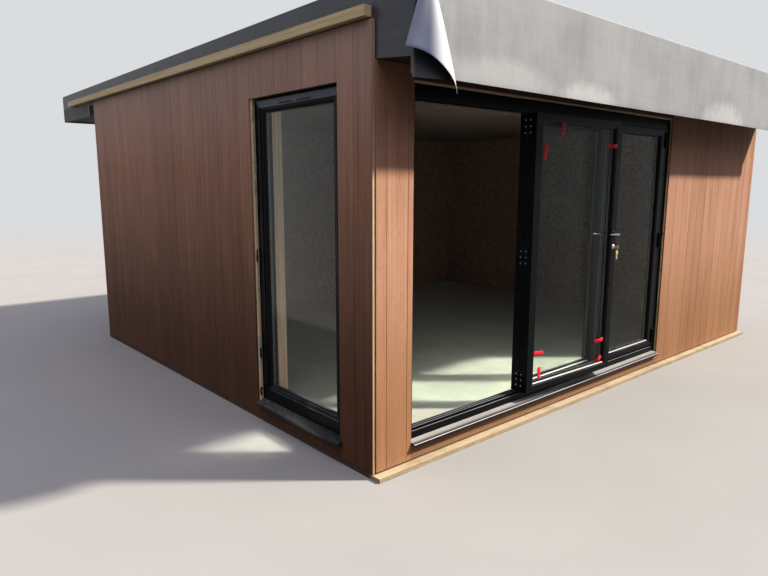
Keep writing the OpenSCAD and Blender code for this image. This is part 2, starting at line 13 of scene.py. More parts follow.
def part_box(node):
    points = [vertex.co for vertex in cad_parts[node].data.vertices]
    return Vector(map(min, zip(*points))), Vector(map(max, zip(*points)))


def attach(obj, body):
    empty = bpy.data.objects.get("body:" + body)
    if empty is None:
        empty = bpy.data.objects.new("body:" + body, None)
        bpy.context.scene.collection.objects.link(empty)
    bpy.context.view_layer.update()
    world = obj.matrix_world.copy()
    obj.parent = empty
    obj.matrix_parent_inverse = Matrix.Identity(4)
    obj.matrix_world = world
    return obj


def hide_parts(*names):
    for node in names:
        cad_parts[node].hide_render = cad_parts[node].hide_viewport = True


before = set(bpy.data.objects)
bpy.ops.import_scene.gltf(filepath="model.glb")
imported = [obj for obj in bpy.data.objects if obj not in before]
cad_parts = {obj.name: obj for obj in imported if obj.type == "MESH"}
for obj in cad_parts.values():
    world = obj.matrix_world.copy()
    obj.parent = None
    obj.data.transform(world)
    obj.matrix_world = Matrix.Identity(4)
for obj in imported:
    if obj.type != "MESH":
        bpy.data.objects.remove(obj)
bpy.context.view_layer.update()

Pair = tuple[float, float]
Point = tuple[float, float, float]
Four = tuple[float, float, float, float]
Tree, Node, Socket = bpy.types.NodeTree, bpy.types.Node, bpy.types.NodeSocket
Feed = Node | Socket | float | str | tuple

LOG = logging.getLogger("garden_pod")
ROOT = "root"
ALUMINIUM, BOARDS, STEELWORK = "black_aluminium", "composite_cladding", "satin_steel"
MM = 0.001
# A gap that keeps two solids apart, and how close two places are taken to be the same.
HAIR, SAME = 0.0002, 1e-6
# The inputs and the output of a mix of colours, by number.
MIX_UNDER, MIX_OVER, MIX_COLOUR = 6, 7, 2
# The door's ends along the front, and the window's hole: its ends, foot and head.
DOORWAY: Pair = (0.274, 3.161)
WINDOW_HOLE: Four = (0.285, 1.185, 0.100, 2.055)
OUTWARDS: Point = (0.0, -1.0, 0.0)
BACKDROP = "#dadcde"


# Colours and nodes

def linear(code: str) -> Four:
    """Turns an sRGB hex colour to linear light.

    Args:
        code: The colour, as #rrggbb.

    Returns:
        Red, green, blue and an alpha of 1.
    """
    parts = [int(code[i:i + 2], 16) / 255 for i in (1, 3, 5)]
    light = [p / 12.92 if p <= 0.04045 else ((p + 0.055) / 1.055) ** 2.4 for p in parts]
    return light[0], light[1], light[2], 1.0


def add(tree: Tree, kind: str, feeds: dict[str | int, Feed] | None = None,
        **settings: object) -> Node:
    """Adds a node with its settings and links. Colours fed to a mix make it a mix of colours.

    Args:
        tree: The tree that the node goes into.
        kind: The node's type, without its leading ShaderNode.
        feeds: What goes into its inputs, by name or number: a node, a socket, a value or a hex colour.
        settings: The node's own properties, and stops, the colours of a ramp.

    Returns:
        The node.
    """
    node = tree.nodes.new("ShaderNode" + kind)
    feeds = feeds or {}
    stops = settings.pop("stops", None)
    if MIX_UNDER in feeds:
        settings["data_type"] = "RGBA"
    for name, value in settings.items():
        setattr(node, name, value)
    if stops:
        for place, colour in stops[1:-1]:
            node.color_ramp.elements.new(place)
        for element, (place, colour) in zip(node.color_ramp.elements, stops):
            element.position = place
            element.color = linear(colour)
    for key, value in feeds.items():
        if isinstance(value, Node):
            value = value.outputs[MIX_COLOUR if getattr(value, "data_type", "") == "RGBA" else 0]
        if isinstance(value, Socket):
            tree.links.new(value, node.inputs[key])
        else:
            node.inputs[key].default_value = linear(value) if isinstance(value, str) else value
    return node


class Axis(Enum):
    """A direction of the frame."""

    X = 0
    Y = 1
    Z = 2


def along(axis: Axis, length: float, across: float) -> Point:
    """Gives the size of a patch that is long along one axis.

    Args:
        axis: The long direction.
        length: Its length that way.
        across: Its length the other two ways.

    Returns:
        The three lengths.
    """
    size = [across, across, across]
    size[axis.value] = length
    return size[0], size[1], size[2]


def coordinate(tree: Tree, axis: Axis) -> Socket:
    """Returns the place of a point along one axis of the frame."""
    place = add(tree, "TexCoord").outputs["Object"]
    return add(tree, "SeparateXYZ", {0: place}).outputs[axis.value]


def patches(tree: Tree, size_mm: float | Point, detail: float = 3.0, rough: float = 0.55,
            shift: float = 0.0) -> Node:
    """Makes noise whose patches have a real size.

    Args:
        tree: The material's tree.
        size_mm: Length of a patch in millimetres, the same every way or along X, Y and Z.
        detail: Number of finer layers in the noise.
        rough: Strength of the finer layers.
        shift: Moves the pattern, so that two of one size differ.

    Returns:
        The noise, from 0 to 1.
    """
    size = size_mm if isinstance(size_mm, tuple) else (size_mm, size_mm, size_mm)
    place = add(tree, "TexCoord").outputs["Object"]
    moved = add(tree, "Mapping", {"Vector": place, "Location": (shift, 1.7 * shift, 0.6 * shift),
                                  "Scale": tuple(1 / (s * MM) for s in size)})
    return add(tree, "TexNoise", {
        "Vector": moved, "Scale": 1.0, "Detail": detail, "Roughness": rough})


def relieved(tree: Tree, colour: Feed, rough: Feed, height: Feed, strength: float, depth_mm: float,
             more: dict[str, float] | None = None) -> Node:
    """Ends a finish with its relief and its shader.

    Args:
        tree: The material's tree.
        colour: The base colour.
        rough: The roughness.
        height: The pattern that stands out of the surface.
        strength: Share of the relief that shows.
        depth_mm: Depth of the relief, in millimetres.
        more: The shader's other inputs.

    Returns:
        The shader.
    """
    bump = add(tree, "Bump", {"Height": height, "Strength": strength, "Distance": depth_mm * MM})
    return add(tree, "BsdfPrincipled", {
        "Base Color": colour, "Roughness": rough, "Normal": bump, **(more or {})})


def seen_directly(tree: Tree) -> Node:
    """Tells the rays that see things, also through glass and in metal, from those that light them.

    Args:
        tree: The material's or world's tree.

    Returns:
        1 for a ray that sees, 0 for one that lights.
    """
    path = add(tree, "LightPath").outputs
    seen = add(tree, "Math", {0: path["Is Camera Ray"], 1: path["Is Glossy Ray"]}, operation="MAXIMUM")
    return add(tree, "Math", {0: seen, 1: path["Is Transmission Ray"]}, operation="MAXIMUM")


# Finishes

@dataclass(frozen=True)
class Finish:
    """A material: what it is and how its surface was made."""

    name: str = "finish"

    def shade(self, tree: Tree) -> Node:
        """Adds the finish's nodes to a material's tree and returns the shader."""
        raise NotImplementedError

    def material(self) -> bpy.types.Material:
        """Makes the material once.

        Returns:
            The material.
        """
        found = bpy.data.materials.get(self.name)
        if found:
            return found
        made = bpy.data.materials.new(self.name)
        made.use_nodes = True
        made.node_tree.nodes.clear()
        add(made.node_tree, "OutputMaterial", {"Surface": self.shade(made.node_tree)})
        return made


@dataclass(frozen=True)
class CompositeBoard(Finish):
    """Wood-plastic composite, extruded and brushed.

    The brush leaves long pale and dark hairs along the board and a dull, even brown between them.
    """

    name: str = "wood_composite_extruded_brushed"
    deep: str = "#9a705b"
    ground: str = "#bc9077"
    pale: str = "#cfa68c"
    fleck: str = "#7a6a62"
    grain: Axis = Axis.Z
    hair_mm: float = 3.6
    hair_long_mm: float = 420.0
    streak_mm: float = 19.0
    streak_long_mm: float = 1600.0
    fleck_mm: float = 1.6
    fleck_long_mm: float = 55.0
    cloud_mm: float = 90.0
    cloud_long_mm: float = 600.0
    foot: str = "#dcd4bd"
    foot_low_mm: float = 250.0
    foot_high_mm: float = 1250.0
    foot_ragged_mm: float = 180.0
    painted_skylight: float = 0.0
    painted_skylight_colour: str = "#f4f2ee"
    painted_skylight_low_mm: float = 1650.0
    painted_skylight_high_mm: float = 2300.0

    def painted_skylight_share(self, tree: Tree) -> Node:
        """Adds the share of the grey tint high on the boards: painted skylight, the cool light from
        above.
        """
        return add(tree, "MapRange", {
            "Value": coordinate(tree, Axis.Z), "From Min": self.painted_skylight_low_mm * MM,
            "From Max": self.painted_skylight_high_mm * MM, "To Max": self.painted_skylight})

    def foot_darkening(self, tree: Tree) -> Node:
        """Adds the tint that darkens the boards towards the ground.

        Args:
            tree: The material's tree.

        Returns:
            The share of the tint.
        """
        ragged = patches(tree, (70.0, 70.0, 300.0), 4.0, 0.6, 21.0)
        reach = self.foot_ragged_mm * MM
        spread = add(tree, "MapRange", {"Value": ragged, "To Min": -reach, "To Max": reach})
        level = add(tree, "Math", {0: coordinate(tree, Axis.Z), 1: spread}, operation="ADD")
        return add(tree, "MapRange", {
            "Value": level, "From Min": self.foot_low_mm * MM, "From Max": self.foot_high_mm * MM,
            "To Min": 1.0, "To Max": 0.0}, interpolation_type="SMOOTHSTEP")

    def shade(self, tree: Tree) -> Node:
        """Adds brushed hairs, dark flecks, faint clouds and a tone for each board.

        Args:
            tree: The material's tree.

        Returns:
            The shader.
        """
        fine = patches(tree, along(self.grain, self.hair_long_mm, self.hair_mm), 3.0, 0.65)
        broad = patches(tree, along(self.grain, self.streak_long_mm, self.streak_mm), 3.0, 0.6, 6.1)
        hairs = add(tree, "Mix", {0: 0.62, 2: fine, 3: broad}, data_type="FLOAT")
        flecks = patches(tree, along(self.grain, self.fleck_long_mm, self.fleck_mm), 2.0, 0.6, 3.1)
        clouds = patches(tree, along(self.grain, self.cloud_long_mm, self.cloud_mm), 3.0, 0.5, 7.7)
        stops = [(0.30, self.deep), (0.48, self.ground), (0.53, self.ground), (0.70, self.pale)]
        brown = add(tree, "ValToRGB", {"Fac": hairs}, stops=stops)
        dots = add(tree, "ValToRGB", {"Fac": flecks}, stops=[(0.27, self.fleck), (0.37, "#ffffff")])
        marked = add(tree, "Mix", {0: 1.0, MIX_UNDER: brown, MIX_OVER: dots}, blend_type="MULTIPLY")
        tone = add(tree, "Attribute", attribute_name="tone").outputs["Fac"]
        board = add(tree, "MapRange", {"Value": tone, "To Min": 0.86, "To Max": 1.10})
        drift = add(tree, "MapRange", {
            "Value": clouds, "From Min": 0.3, "From Max": 0.7, "To Min": 0.90, "To Max": 1.09})
        light = add(tree, "Math", {0: board, 1: drift}, operation="MULTIPLY")
        clean = add(tree, "HueSaturation", {"Color": marked, "Value": light})
        colour = add(tree, "Mix", {0: self.foot_darkening(tree), MIX_UNDER: clean, MIX_OVER: self.foot},
                     blend_type="MULTIPLY")
        # Painted skylight: a grey tint high on the boards for the cool light falling from above.
        if self.painted_skylight:
            colour = add(tree, "Mix", {
                0: self.painted_skylight_share(tree), MIX_UNDER: colour, MIX_OVER: self.painted_skylight_colour})
        rough = add(tree, "MapRange", {"Value": hairs, "To Min": 0.50, "To Max": 0.74})
        return relieved(
            tree, colour, rough, hairs, 0.55, 0.7, {"IOR": 1.48, "Specular IOR Level": 0.12})


@dataclass(frozen=True)
class SawnPine(Finish):
    """Pine, sawn and left bare.

    Yellow with darker growth lines along the grain, brown knots and a fuzzy, dull face.
    """

    name: str = "pine_sawn_bare"
    pale: str = "#f2dda8"
    ring: str = "#dcb876"
    knot: str = "#6e4424"
    grain: Axis = Axis.Y
    ring_mm: float = 7.0
    ring_long_mm: float = 700.0
    fibre_mm: float = 1.4
    fibre_long_mm: float = 40.0
    knot_gap_mm: float = 330.0
    knot_gap_across_mm: float = 120.0

    def shade(self, tree: Tree) -> Node:
        """Adds growth lines, knots and a little grey weathering.

        Args:
            tree: The material's tree.

        Returns:
            The shader.
        """
        rings = patches(tree, along(self.grain, self.ring_long_mm, self.ring_mm), 3.0, 0.6, 1.3)
        fibre = patches(tree, along(self.grain, self.fibre_long_mm, self.fibre_mm), 2.0, 0.6, 5.0)
        wood = add(tree, "ValToRGB", {"Fac": rings}, stops=[(0.36, self.ring), (0.60, self.pale)])
        place = add(tree, "TexCoord").outputs["Object"]
        gaps = along(self.grain, self.knot_gap_mm, self.knot_gap_across_mm)
        moved = add(tree, "Mapping", {"Vector": place, "Scale": tuple(1 / (s * MM) for s in gaps)})
        knots = add(tree, "TexVoronoi", {"Vector": moved, "Scale": 1.0})
        spots = add(tree, "ValToRGB", {"Fac": knots}, stops=[(0.05, "#ffffff"), (0.12, "#000000")])
        colour = add(tree, "Mix", {0: spots, MIX_UNDER: wood, MIX_OVER: self.knot})
        worn = add(tree, "MapRange", {"Value": fibre, "To Min": 0.85, "To Max": 1.12})
        aged = add(tree, "HueSaturation", {"Color": colour, "Value": worn})
        return relieved(tree, aged, 0.72, fibre, 0.5, 0.6)


@dataclass(frozen=True)
class Membrane(Finish):
    """EPDM rubber, calendered to a sheet.

    Slate grey with a soft sheen; talc and dust from the roll lie over it in clouds and wiped streaks.
    """

    name: str = "rubber_calendered"
    rubber: str = "#31353f"
    dust: str = "#b7b9bb"
    dust_low: float = 0.42
    dust_high: float = 0.62
    cloud_mm: float = 420.0
    grit_mm: float = 5.0
    wipe: Axis = Axis.Z
    wipe_mm: float = 34.0
    wipe_long_mm: float = 600.0
    streaks: float = 0.42
    crease_mm: float = 16.0
    crease_long_mm: float = 800.0
    creases: float = 0.0
    cover: float = 1.0
    gloss: float = 0.5
    fans: tuple[tuple[float, float, float, float, float], ...] = ()
    fan_colour: str = "#c3c7ca"
    apron_y: float = -2.34
    apex: Pair = (-2.403, 2.520)
    highlight_slopes: Pair | None = None

    def rubbed(self, tree: Tree) -> list[Node]:
        """Adds the masks of the pale, hand-wide marks that rubbing has left on the apron.

        Args:
            tree: The material's tree.

        Returns:
            A mask for each fan.
        """
        place = add(tree, "TexCoord").outputs["Object"]
        ragged = patches(tree, (45.0, 45.0, 110.0), 5.0, 0.65, 12.0)
        masks = []
        for x, z, wide, tall, most in self.fans:
            moved = add(tree, "Mapping", {"Vector": place, "Location": (x, self.apron_y, z),
                                          "Scale": (wide, 1.0, tall)}, vector_type="TEXTURE")
            ball = add(tree, "TexGradient", {0: moved}, gradient_type="SPHERICAL").outputs[1]
            worn = add(tree, "Math", {0: ball, 1: ragged}, operation="MULTIPLY")
            masks.append(add(tree, "MapRange", {
                "Value": worn, "From Min": 0.07, "From Max": 0.25, "To Max": most}))
        return masks

    def curl_highlight_share(self, tree: Tree) -> Node:
        """Adds the mask of the curl's painted highlight, by the slope of the line from its apex.

        Args:
            tree: The material's tree.

        Returns:
            The mask.
        """
        across, up = coordinate(tree, Axis.X), coordinate(tree, Axis.Z)
        aside = add(tree, "Math", {0: across, 1: self.apex[0]}, operation="SUBTRACT")
        below = add(tree, "Math", {0: self.apex[1], 1: up}, operation="SUBTRACT")
        slope = add(tree, "Math", {0: aside, 1: below}, operation="DIVIDE")
        return add(tree, "MapRange", {
            "Value": slope, "From Min": self.highlight_slopes[0], "From Max": self.highlight_slopes[1]},
            interpolation_type="SMOOTHSTEP")

    def shade(self, tree: Tree) -> Node:
        """Adds dust in clouds and streaks over plain rubber.

        Args:
            tree: The material's tree.

        Returns:
            The shader.
        """
        clouds = patches(tree, self.cloud_mm, 5.0, 0.6, 2.2)
        wiped = patches(tree, along(self.wipe, self.wipe_long_mm, self.wipe_mm), 4.0, 0.7, 9.0)
        folded = patches(tree, along(Axis.X, self.crease_long_mm, self.crease_mm), 3.0, 0.6, 15.0)
        fine = patches(tree, self.grit_mm, 3.0, 0.7, 4.0)
        both = add(tree, "Mix", {0: self.streaks, MIX_UNDER: clouds, MIX_OVER: wiped})
        both = add(tree, "Mix", {0: self.creases, MIX_UNDER: both, MIX_OVER: folded})
        both = add(tree, "Mix", {0: 0.12, MIX_UNDER: both, MIX_OVER: fine})
        share = add(tree, "MapRange", {"Value": both, "From Min": self.dust_low,
                                       "From Max": self.dust_high, "To Max": self.cover})
        # The curl's painted highlight, mixed in with the dust colour.
        if self.highlight_slopes:
            share = add(tree, "Math", {0: share, 1: self.curl_highlight_share(tree)}, operation="MAXIMUM")
        colour = add(tree, "Mix", {0: share, MIX_UNDER: self.rubber, MIX_OVER: self.dust})
        for mask in self.rubbed(tree):
            colour = add(tree, "Mix", {0: mask, MIX_UNDER: colour, MIX_OVER: self.fan_colour})
        rough = add(tree, "MapRange", {"Value": share, "To Min": 0.45, "To Max": 0.85})
        return relieved(
            tree, colour, rough, fine, 0.25, 0.5, {"IOR": 1.52, "Specular IOR Level": self.gloss})


@dataclass(frozen=True)
class PowderCoat(Finish):
    """Aluminium, powder coated.

    Near black and half glossy, with the faint orange peel of baked powder and a film of dust.
    """

    name: str = "aluminium_powder_coated"
    coat: str = "#07090d"
    dust: str = "#898c94"
    dust_least: float = 0.0
    dust_most: float = 0.55
    roughness: float = 0.32
    dusty_roughness: float = 0.75
    gloss: float = 0.06
    peel_mm: float = 2.2
    cloud_mm: float | Point = 130.0
    dust_fade_y: Pair | None = None

    def shade(self, tree: Tree) -> Node:
        """Adds orange peel, and dust that is thicker on faces that look up.

        Args:
            tree: The material's tree.

        Returns:
            The shader.
        """
        cloud = patches(tree, self.cloud_mm, 5.0, 0.65, 6.0)
        peel = patches(tree, self.peel_mm, 2.0, 0.5)
        up = add(tree, "SeparateXYZ", {0: add(tree, "NewGeometry").outputs["Normal"]}).outputs[2]
        lying = add(tree, "MapRange", {
            "Value": up, "From Min": 0.3, "From Max": 0.8, "To Min": 0.01, "To Max": 1.0})
        dusty = add(tree, "MapRange", {"Value": cloud, "From Min": 0.38, "From Max": 0.72,
                                       "To Min": self.dust_least, "To Max": self.dust_most})
        share = add(tree, "Math", {0: lying, 1: dusty}, operation="MULTIPLY")
        if self.dust_fade_y:
            left = add(tree, "MapRange", {
                "Value": coordinate(tree, Axis.Y), "From Min": self.dust_fade_y[0],
                "From Max": self.dust_fade_y[1], "To Min": 0.10})
            share = add(tree, "Math", {0: share, 1: left}, operation="MULTIPLY")
        colour = add(tree, "Mix", {0: share, MIX_UNDER: self.coat, MIX_OVER: self.dust})
        rough = add(tree, "MapRange", {
            "Value": share, "To Min": self.roughness, "To Max": self.dusty_roughness})
        return relieved(
            tree, colour, rough, peel, 0.12, 0.3, {"IOR": 1.5, "Specular IOR Level": self.gloss})


@dataclass(frozen=True)
class StrandBoard(Finish):
    """Strand board, pressed from long flakes of wood.

    Flakes lie every way in slightly different browns, so the face looks mottled and lightly waxed.
    """

    name: str = "strand_board_pressed"
    deep: str = "#6c574c"
    middle: str = "#856d5f"
    pale: str = "#988074"
    flake_mm: Pair = (75.0, 15.0)
    gloss: float = 0.5

    def shade(self, tree: Tree) -> Node:
        """Adds two layers of flakes that lie across each other.

        Args:
            tree: The material's tree.

        Returns:
            The shader.
        """
        place = add(tree, "TexCoord").outputs["Object"]
        long, wide = (1 / (s * MM) for s in self.flake_mm)
        layers = []
        for turn, shift in ((0.5, 0.0), (-0.9, 5.0)):
            turned = add(tree, "Mapping", {
                "Vector": place, "Rotation": (turn, turn, turn), "Location": (shift, shift, shift)})
            sized = add(tree, "Mapping", {"Vector": turned, "Scale": (wide, long, wide)})
            cell = add(tree, "TexVoronoi", {"Vector": sized, "Scale": 1.0, "Randomness": 1.0})
            layers.append(cell.outputs["Color"])
        mixed = add(tree, "Mix", {0: 0.5, MIX_UNDER: layers[0], MIX_OVER: layers[1]})
        grey = add(tree, "RGBToBW", {0: mixed})
        stops = [(0.25, self.deep), (0.5, self.middle), (0.8, self.pale)]
        colour = add(tree, "ValToRGB", {"Fac": grey}, stops=stops)
        return relieved(tree, colour, 0.62, grey, 0.4, 0.8, {"Specular IOR Level": self.gloss})


@dataclass(frozen=True)
class FloorBoard(Finish):
    """Chipboard, pressed and sealed with a green moisture film.

    Pale green-grey with fine chips under the film, scuffed grey where feet and tools have been.
    """

    name: str = "chipboard_pressed_sealed"
    film: str = "#b5bab3"
    chip: str = "#9ea59c"
    scuff: str = "#c2c4bb"
    chip_mm: float = 4.0
    scuff_mm: Point = (260.0, 420.0, 260.0)

    def shade(self, tree: Tree) -> Node:
        """Adds chips and scuffs.

        Args:
            tree: The material's tree.

        Returns:
            The shader.
        """
        chips = patches(tree, self.chip_mm, 3.0, 0.7)
        scuffs = patches(tree, self.scuff_mm, 6.0, 0.62, 8.0)
        ground = add(tree, "ValToRGB", {"Fac": chips}, stops=[(0.35, self.chip), (0.62, self.film)])
        share = add(tree, "MapRange", {
            "Value": scuffs, "From Min": 0.48, "From Max": 0.68, "To Max": 0.75})
        colour = add(tree, "Mix", {0: share, MIX_UNDER: ground, MIX_OVER: self.scuff})
        rough = add(tree, "MapRange", {"Value": scuffs, "To Min": 0.35, "To Max": 0.75})
        return relieved(tree, colour, rough, chips, 0.15, 0.4)


@dataclass(frozen=True)
class Concrete(Finish):
    """Concrete, cast against boards.

    Warm grey with sand and small stones in it, and soil dust over its upper edge.
    """

    name: str = "concrete_cast"
    paste: str = "#bcab8f"
    sand: str = "#97866c"
    soil: str = "#8f7b5e"
    soil_and_shade: str = "#453527"
    side_y: Pair = (-2.070, -2.040)
    grit_mm: float = 5.0
    soil_mm: Point = (160.0, 160.0, 40.0)

    def shade(self, tree: Tree) -> Node:
        """Adds grit, small holes and soil, and beside the left wall dark soil with painted shade.

        Args:
            tree: The material's tree.

        Returns:
            The shader.
        """
        grit = patches(tree, self.grit_mm, 5.0, 0.75)
        soil = patches(tree, self.soil_mm, 5.0, 0.6, 3.0)
        ground = add(tree, "ValToRGB", {"Fac": grit}, stops=[(0.36, self.sand), (0.6, self.paste)])
        share = add(tree, "MapRange", {
            "Value": soil, "From Min": 0.45, "From Max": 0.65, "To Max": 0.7})
        colour = add(tree, "Mix", {0: share, MIX_UNDER: ground, MIX_OVER: self.soil})
        # Beside the left wall: dark soil, with painted shade.
        beside = add(tree, "MapRange", {"Value": coordinate(tree, Axis.Y),
                                        "From Min": self.side_y[0], "From Max": self.side_y[1]})
        colour = add(tree, "Mix", {0: beside, MIX_UNDER: colour, MIX_OVER: self.soil_and_shade})
        return relieved(tree, colour, 0.92, grit, 0.8, 2.0)


@dataclass(frozen=True)
class FloatGlass(Finish):
    """Float glass, drawn flat.

    Clear with a trace of green and a faint, flat mirror over it; light falls through it to the room.
    Its index is set low, because a pale studio would veil panes that mirror dark trees out of doors.
    """

    name: str = "glass_float"
    tint: str = "#fafcfb"
    index: float = 1.07

    def shade(self, tree: Tree) -> Node:
        """Adds clear glass that lets shadow rays through.

        Args:
            tree: The material's tree.

        Returns:
            The shader.
        """
        clear = add(tree, "BsdfPrincipled", {"Base Color": self.tint, "Roughness": 0.0,
                                             "IOR": self.index, "Transmission Weight": 1.0})
        open_air = add(tree, "BsdfTransparent", {"Color": self.tint})
        shadow = add(tree, "LightPath").outputs["Is Shadow Ray"]
        return add(tree, "MixShader", {0: shadow, 1: clear, 2: open_air})


@dataclass(frozen=True)
class Metal(Finish):
    """Bare metal, brushed or plated.

    A soft highlight stretched across fine brush lines.
    """

    name: str = "steel_brushed"
    colour: str = "#c4c5c6"
    shadow: str = "#9d9fa1"
    roughness: float = 0.28
    roughness_spread: float = 0.14
    brush: Axis = Axis.X
    line_mm: float = 0.8
    line_long_mm: float = 20.0

    def shade(self, tree: Tree) -> Node:
        """Adds brush lines in the colour, roughness and relief.

        Args:
            tree: The material's tree.

        Returns:
            The shader.
        """
        lines = patches(tree, along(self.brush, self.line_long_mm, self.line_mm), 3.0, 0.6)
        tint = add(tree, "ValToRGB", {"Fac": lines}, stops=[(0.3, self.shadow), (0.6, self.colour)])
        rough = add(tree, "MapRange", {"Value": lines, "To Min": self.roughness,
                                       "To Max": self.roughness + self.roughness_spread})
        return relieved(tree, tint, rough, lines, 0.2, 0.1, {"Metallic": 1.0})


@dataclass(frozen=True)
class Speckled(Finish):
    """A dull finish with grains of another colour, such as rubber, foam, tape, foil or dust.

    The grains' size, the relief and the gloss set what it reads as.
    """

    name: str = "speckled"
    ground: str = "#202020"
    grain: str = "#303030"
    grain_mm: float = 3.0
    grain_low: float = 0.45
    grain_high: float = 0.60
    roughness: float = 0.7
    relief_mm: float = 0.3
    gloss: float = 0.5

    def shade(self, tree: Tree) -> Node:
        """Adds grains to the colour and the relief.

        Args:
            tree: The material's tree.

        Returns:
            The shader.
        """
        grains = patches(tree, self.grain_mm, 4.0, 0.65, 1.0)
        stops = [(self.grain_low, self.ground), (self.grain_high, self.grain)]
        colour = add(tree, "ValToRGB", {"Fac": grains}, stops=stops)
        return relieved(tree, colour, self.roughness, grains, 0.6, self.relief_mm,
                        {"Specular IOR Level": self.gloss})


BOARD = CompositeBoard()
BOARD_FLAT = CompositeBoard(name="wood_composite_extruded_brushed_lying", grain=Axis.X,
                            deep="#88675a", ground="#a98775", pale="#b7998b")
# Side and back walls: darker towards the ground as painted shade, and tinted grey high up as painted
# skylight.
BOARD_PAINTED_SHADE_AND_SKY = CompositeBoard(
    name="wood_composite_extruded_brushed_painted_shade_and_sky", foot="#83786e", foot_high_mm=2100.0, painted_skylight=0.2)
# Dark copy of the boards for the header over the door: painted shade under the eaves.
BOARD_HEADER_PAINTED_SHADE = CompositeBoard(name="wood_composite_extruded_brushed_header_painted_shade", grain=Axis.X, deep="#4a352c",
                            ground="#5b4338", pale="#6a5044")
# Pale copy of the boards for the side walls' cut ends: a painted highlight, the sunlit end faces.
BOARD_CUT_PAINTED_HIGHLIGHT = CompositeBoard(
    name="wood_composite_sawn_end_painted_highlight", deep="#c3a287", ground="#dcbfa3", pale="#e6cdb4")
# Battens: the left one's pine is painted lighter to make up for the shade on that side, the right one's
# painted darker for the sun.
PINE_BATTEN_BRIGHTENED_FOR_SHADE = SawnPine(pale="#f9e9c0", ring="#e6c88a", knot="#5c4630")
PINE_BATTEN_DARKENED_FOR_SUN = SawnPine(name="pine_sawn_bare_darkened_for_sun", pale="#d2be8e", ring="#b89a62")
PINE_ACROSS = SawnPine(name="pine_sawn_bare_across", grain=Axis.X, pale="#efdfba", ring="#d9bd8a")
# Near-white copy of the pine for the door packers: painted light, lighter to make up for the shade under
# the eaves.
PINE_PACKER_BRIGHTENED_FOR_SHADE = SawnPine(
    name="pine_sawn_bare_packer_brightened_for_shade", grain=Axis.X, pale="#fff4da", ring="#f0dcb0", knot_gap_mm=900.0)
# Near-white copy of the pine for the window's stud: painted light, lighter to make up for the shade in
# the gap.
PINE_STUD_BRIGHTENED_FOR_SHADE = SawnPine(name="pine_sawn_bare_upright_brightened_for_shade", grain=Axis.Z, pale="#fbecc4", ring="#ecd098",
                   knot="#4a3322", knot_gap_mm=150.0)
# Greyed copy of the pine for the door stud: weathering, and painted shade in the recess beside the
# frame.
PINE_WEATHERED_AND_SHADED = SawnPine(name="pine_sawn_weathered_and_painted_shade", grain=Axis.Z, pale="#cdbb8c", ring="#a8966a",
                       knot="#3a3020", knot_gap_mm=110.0)
PINE_FRESH = SawnPine(name="pine_planed_fresh", grain=Axis.Z, pale="#efd9bd", ring="#d6b48c")
SLATE = Membrane(name="rubber_calendered_clean", dust="#7d828a", dust_low=0.50, dust_high=0.80,
                 cover=0.5, wipe=Axis.Y)
# Near-black copy of the rubber for the hems' rear part below the battens: painted shade.
HEM_PAINTED_SHADE = Membrane(name="rubber_calendered_hem_painted_shade", rubber="#1b1e26", dust="#353a44", dust_low=0.50,
                  dust_high=0.80, cover=0.5, wipe=Axis.Y, gloss=0.2)
# Pale copy of the rubber for the apron, kerb and skirts: dust, with a painted sheen of sun on the
# rubber.
DUSTY_AND_SHEEN = Membrane(name="rubber_calendered_dust_and_sheen", rubber="#80868c", dust="#a9aeb3", dust_low=0.32,
                 dust_high=0.66, streaks=0.34, creases=0.12,
                 fans=((-1.027, 2.020, 0.40, 0.155, 0.72), (0.973, 2.025, 0.54, 0.215, 0.72),
                       (-1.857, 2.060, 0.60, 0.150, 0.40)))
# The flap's rubber: its pale side along the curl is a painted highlight where the sun falls.
CURL_PAINTED_HIGHLIGHT = Membrane(name="rubber_calendered_curl_painted_highlight", rubber="#3c4866", dust="#cdd2dc", dust_low=0.80,
                  dust_high=1.2, highlight_slopes=(-0.16, 0.14), gloss=0.2)
WALKED = Membrane(name="rubber_calendered_walked", rubber="#54585f", dust="#84888d", dust_low=0.40,
                  dust_high=0.70, wipe=Axis.Y, gloss=0.1)
# Pale copy of the rubber for the apron's corner strip: a painted highlight on the corner's edge.
CORNER_PAINTED_HIGHLIGHT = Membrane(name="rubber_calendered_corner_painted_highlight", rubber="#79828f", dust="#98a0aa")
# Near-black copy of the rubber for the curl's turned-under faces: painted shade.
CURL_SHADED = Membrane(
    name="rubber_calendered_folded_under_painted_shade", rubber="#14161b", dust="#1f2228", gloss=0.1)
COAT = PowderCoat()
# Door sill: pale dust on the bed, fading to a dark band along the front.
COAT_SILL = PowderCoat(
    name="aluminium_powder_coated_dust_fading", coat="#15161a", dust="#9c9c9b", dust_least=0.62,
    dust_most=1.0, gloss=0.2, cloud_mm=(700.0, 300.0, 300.0), dust_fade_y=(-2.093, -2.075))
COAT_TRACK = PowderCoat(name="aluminium_powder_coated_trodden", dust="#85868c", dust_least=0.45,
                        dust_most=0.95, cloud_mm=(400.0, 12.0, 12.0))
# Pale copy of the coat for the sill's rolled bead and the leaves' foot beads: a painted glint of the
# sun.
COAT_PAINTED_GLINT = PowderCoat(name="aluminium_powder_coated_painted_glint", coat="#a09ca3", dust="#bab4b8",
                         dust_least=0.3, roughness=0.25, gloss=0.5)
# Greyer copy of the coat for the vent cover on the window's head: partly the cover's own grey, partly a
# painted sky reflection.
COAT_VENT_PAINTED_REFLECTION = PowderCoat(
    name="aluminium_powder_coated_vent_painted_reflection", coat="#4d5763", dust="#5b6570", roughness=0.4, gloss=0.3)
COAT_LEDGE = PowderCoat(
    name="aluminium_powder_coated_dusty", coat="#13161b", dust="#8c8a86", dust_fade_y=(-1.75, -1.00),
    roughness=0.3, gloss=0.3, cloud_mm=(16.0, 40.0, 16.0))
STRAND = StrandBoard()
